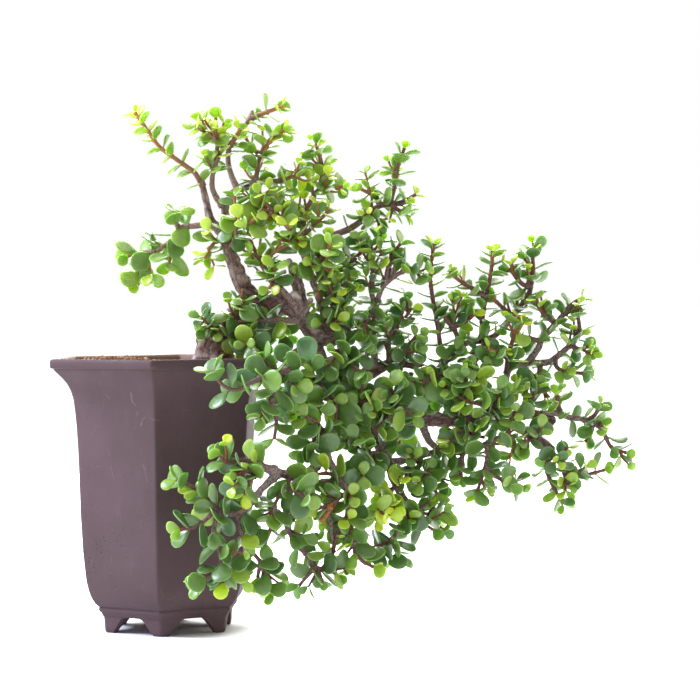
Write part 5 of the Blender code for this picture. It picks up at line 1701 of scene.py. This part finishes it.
def build_branches(stem, leaf, solids):
    """The branches' young wood and leaves. Side shoots that find no room for a leaf aren't kept."""
    plans = []
    for name, leaf_length, look, plan in BRANCHES:
        draw = random.Random(name)
        planned = planned_shoots(leaf_length, plan, look)
        young = [short for shoot in planned for short in side_shoots(shoot, draw)]
        stubs = [Shoot(list(map(Vector, points)), radii, ages, NO_LEAF, 0, PLAIN)
                 for radii, ages, points in STUBS.get(name, ())]
        plans.append((name, draw, planned, young, stubs))
    woods = [wood_of(planned + young + stubs).tree() for _, _, planned, young, stubs in plans]
    crowd = Crowd(solids + woods)
    for name, draw, planned, young, stubs in plans:
        foliage = Shape()
        for shoot in planned:
            grow_leaves(shoot, crowd, draw, foliage)
        kept = planned + [shoot for shoot in young if grow_leaves(shoot, crowd, draw, foliage)]
        put(name + "_wood", wood_of(kept + stubs).mesh(name + "_wood"), stem, "bark", name)
        put(name + "_leaves", foliage.mesh(name + "_leaves"), leaf, "foliage", name)


# ---- Stage, light and camera ----

def white_for_camera(tree, lit, white):
    """Mixes a shader that lights the object with a white one for the camera, also in mirrors."""
    path = tree.nodes.new("ShaderNodeLightPath")
    seen = path.outputs["Is Camera Ray"]
    for ray in ("Is Glossy Ray", "Is Transmission Ray"):
        either = tree.nodes.new("ShaderNodeMath")
        either.operation = "MAXIMUM"
        tree.links.new(seen, either.inputs[0])
        tree.links.new(path.outputs[ray], either.inputs[1])
        seen = either.outputs[0]
    mix = tree.nodes.new("ShaderNodeMixShader")
    for socket, source in zip(mix.inputs, (seen, lit, white)):
        tree.links.new(source, socket)
    return mix.outputs[0]


def build_world():
    world = bpy.data.worlds.new("studio")
    bpy.context.scene.world = world
    world.use_nodes = True
    tree = world.node_tree
    soft, white = tree.nodes["Background"], tree.nodes.new("ShaderNodeBackground")
    for background, strength in ((soft, WORLD_STRENGTH), (white, 1.0)):
        background.inputs["Color"].default_value = (1, 1, 1, 1)
        background.inputs["Strength"].default_value = strength
    mixed = white_for_camera(tree, soft.outputs[0], white.outputs[0])
    tree.links.new(mixed, tree.nodes["World Output"].inputs["Surface"])


def floor_finish():
    """A pale floor that the camera sees as white, except for the shadow round the object."""
    finish = Finish(
        "pale_floor", Base_Color=(0.80, 0.80, 0.81), Roughness=0.9, Specular_IOR_Level=0.0,
    )
    tree, plain = finish.tree, finish.shader.outputs[0]
    far = finish.node("VectorMath", {0: finish.places(), 1: POT_AXIS}, operation="DISTANCE")
    glow = finish.node("MapRange", {
        "Value": far.outputs["Value"], "From Min": FLOOR_NEAR, "From Max": FLOOR_FAR,
    })
    white = finish.node("Emission", {"Color": (1, 1, 1), "Strength": glow.outputs["Result"]})
    both = finish.node("AddShader")
    tree.links.new(plain, both.inputs[0])
    tree.links.new(white.outputs[0], both.inputs[1])
    mixed = white_for_camera(tree, plain, both.outputs[0])
    tree.links.new(mixed, tree.nodes["Material Output"].inputs["Surface"])
    return finish.material


def build_floor():
    mesh = bpy.data.meshes.new("floor")
    corners = [(x * FLOOR_HALF, y * FLOOR_HALF, 0) for x, y in ((-1, -1), (1, -1), (1, 1), (-1, 1))]
    mesh.from_pydata(corners, [], [(0, 1, 2, 3)])
    mesh.materials.append(floor_finish())
    floor = placed("floor", mesh)
    floor.location.z = -FLOOR_DROP


def area_light(name, place, aim, size, power, colour):
    lamp = bpy.data.lights.new(name, "AREA")
    lamp.shape, lamp.size, lamp.energy, lamp.color = "SQUARE", size, power, colour
    light = placed(name, lamp)
    light.location = Vector(place)
    light.rotation_euler = (Vector(aim) - Vector(place)).to_track_quat("-Z", "Y").to_euler()


def build_camera():
    camera = bpy.data.cameras.new("camera")
    camera.lens, camera.sensor_width, camera.clip_end = CAMERA_LENS, CAMERA_SENSOR, CAMERA_RANGE
    eye = placed("camera", camera)
    eye.location = CAMERA_PLACE * MM + POT_AXIS
    pitch = Matrix.Rotation(math.pi / 2 + CAMERA_PITCH, 3, "X")
    eye.rotation_euler = (pitch @ Matrix.Rotation(CAMERA_ROLL, 3, "Z")).to_euler()
    bpy.context.scene.camera = eye


def main():
    build_camera()
    pot = build_pot(clay_finish())
    soil = build_soil(soil_finish())
    wood = build_old_wood(bark_finish())
    build_branches(stem_finish(), leaf_finish(), [tree_of(piece) for piece in (pot, wood)])
    build_world()
    build_floor()
    for settings in LIGHTS:
        area_light(*settings)
    bpy.context.scene.view_settings.view_transform = "Standard"


main()
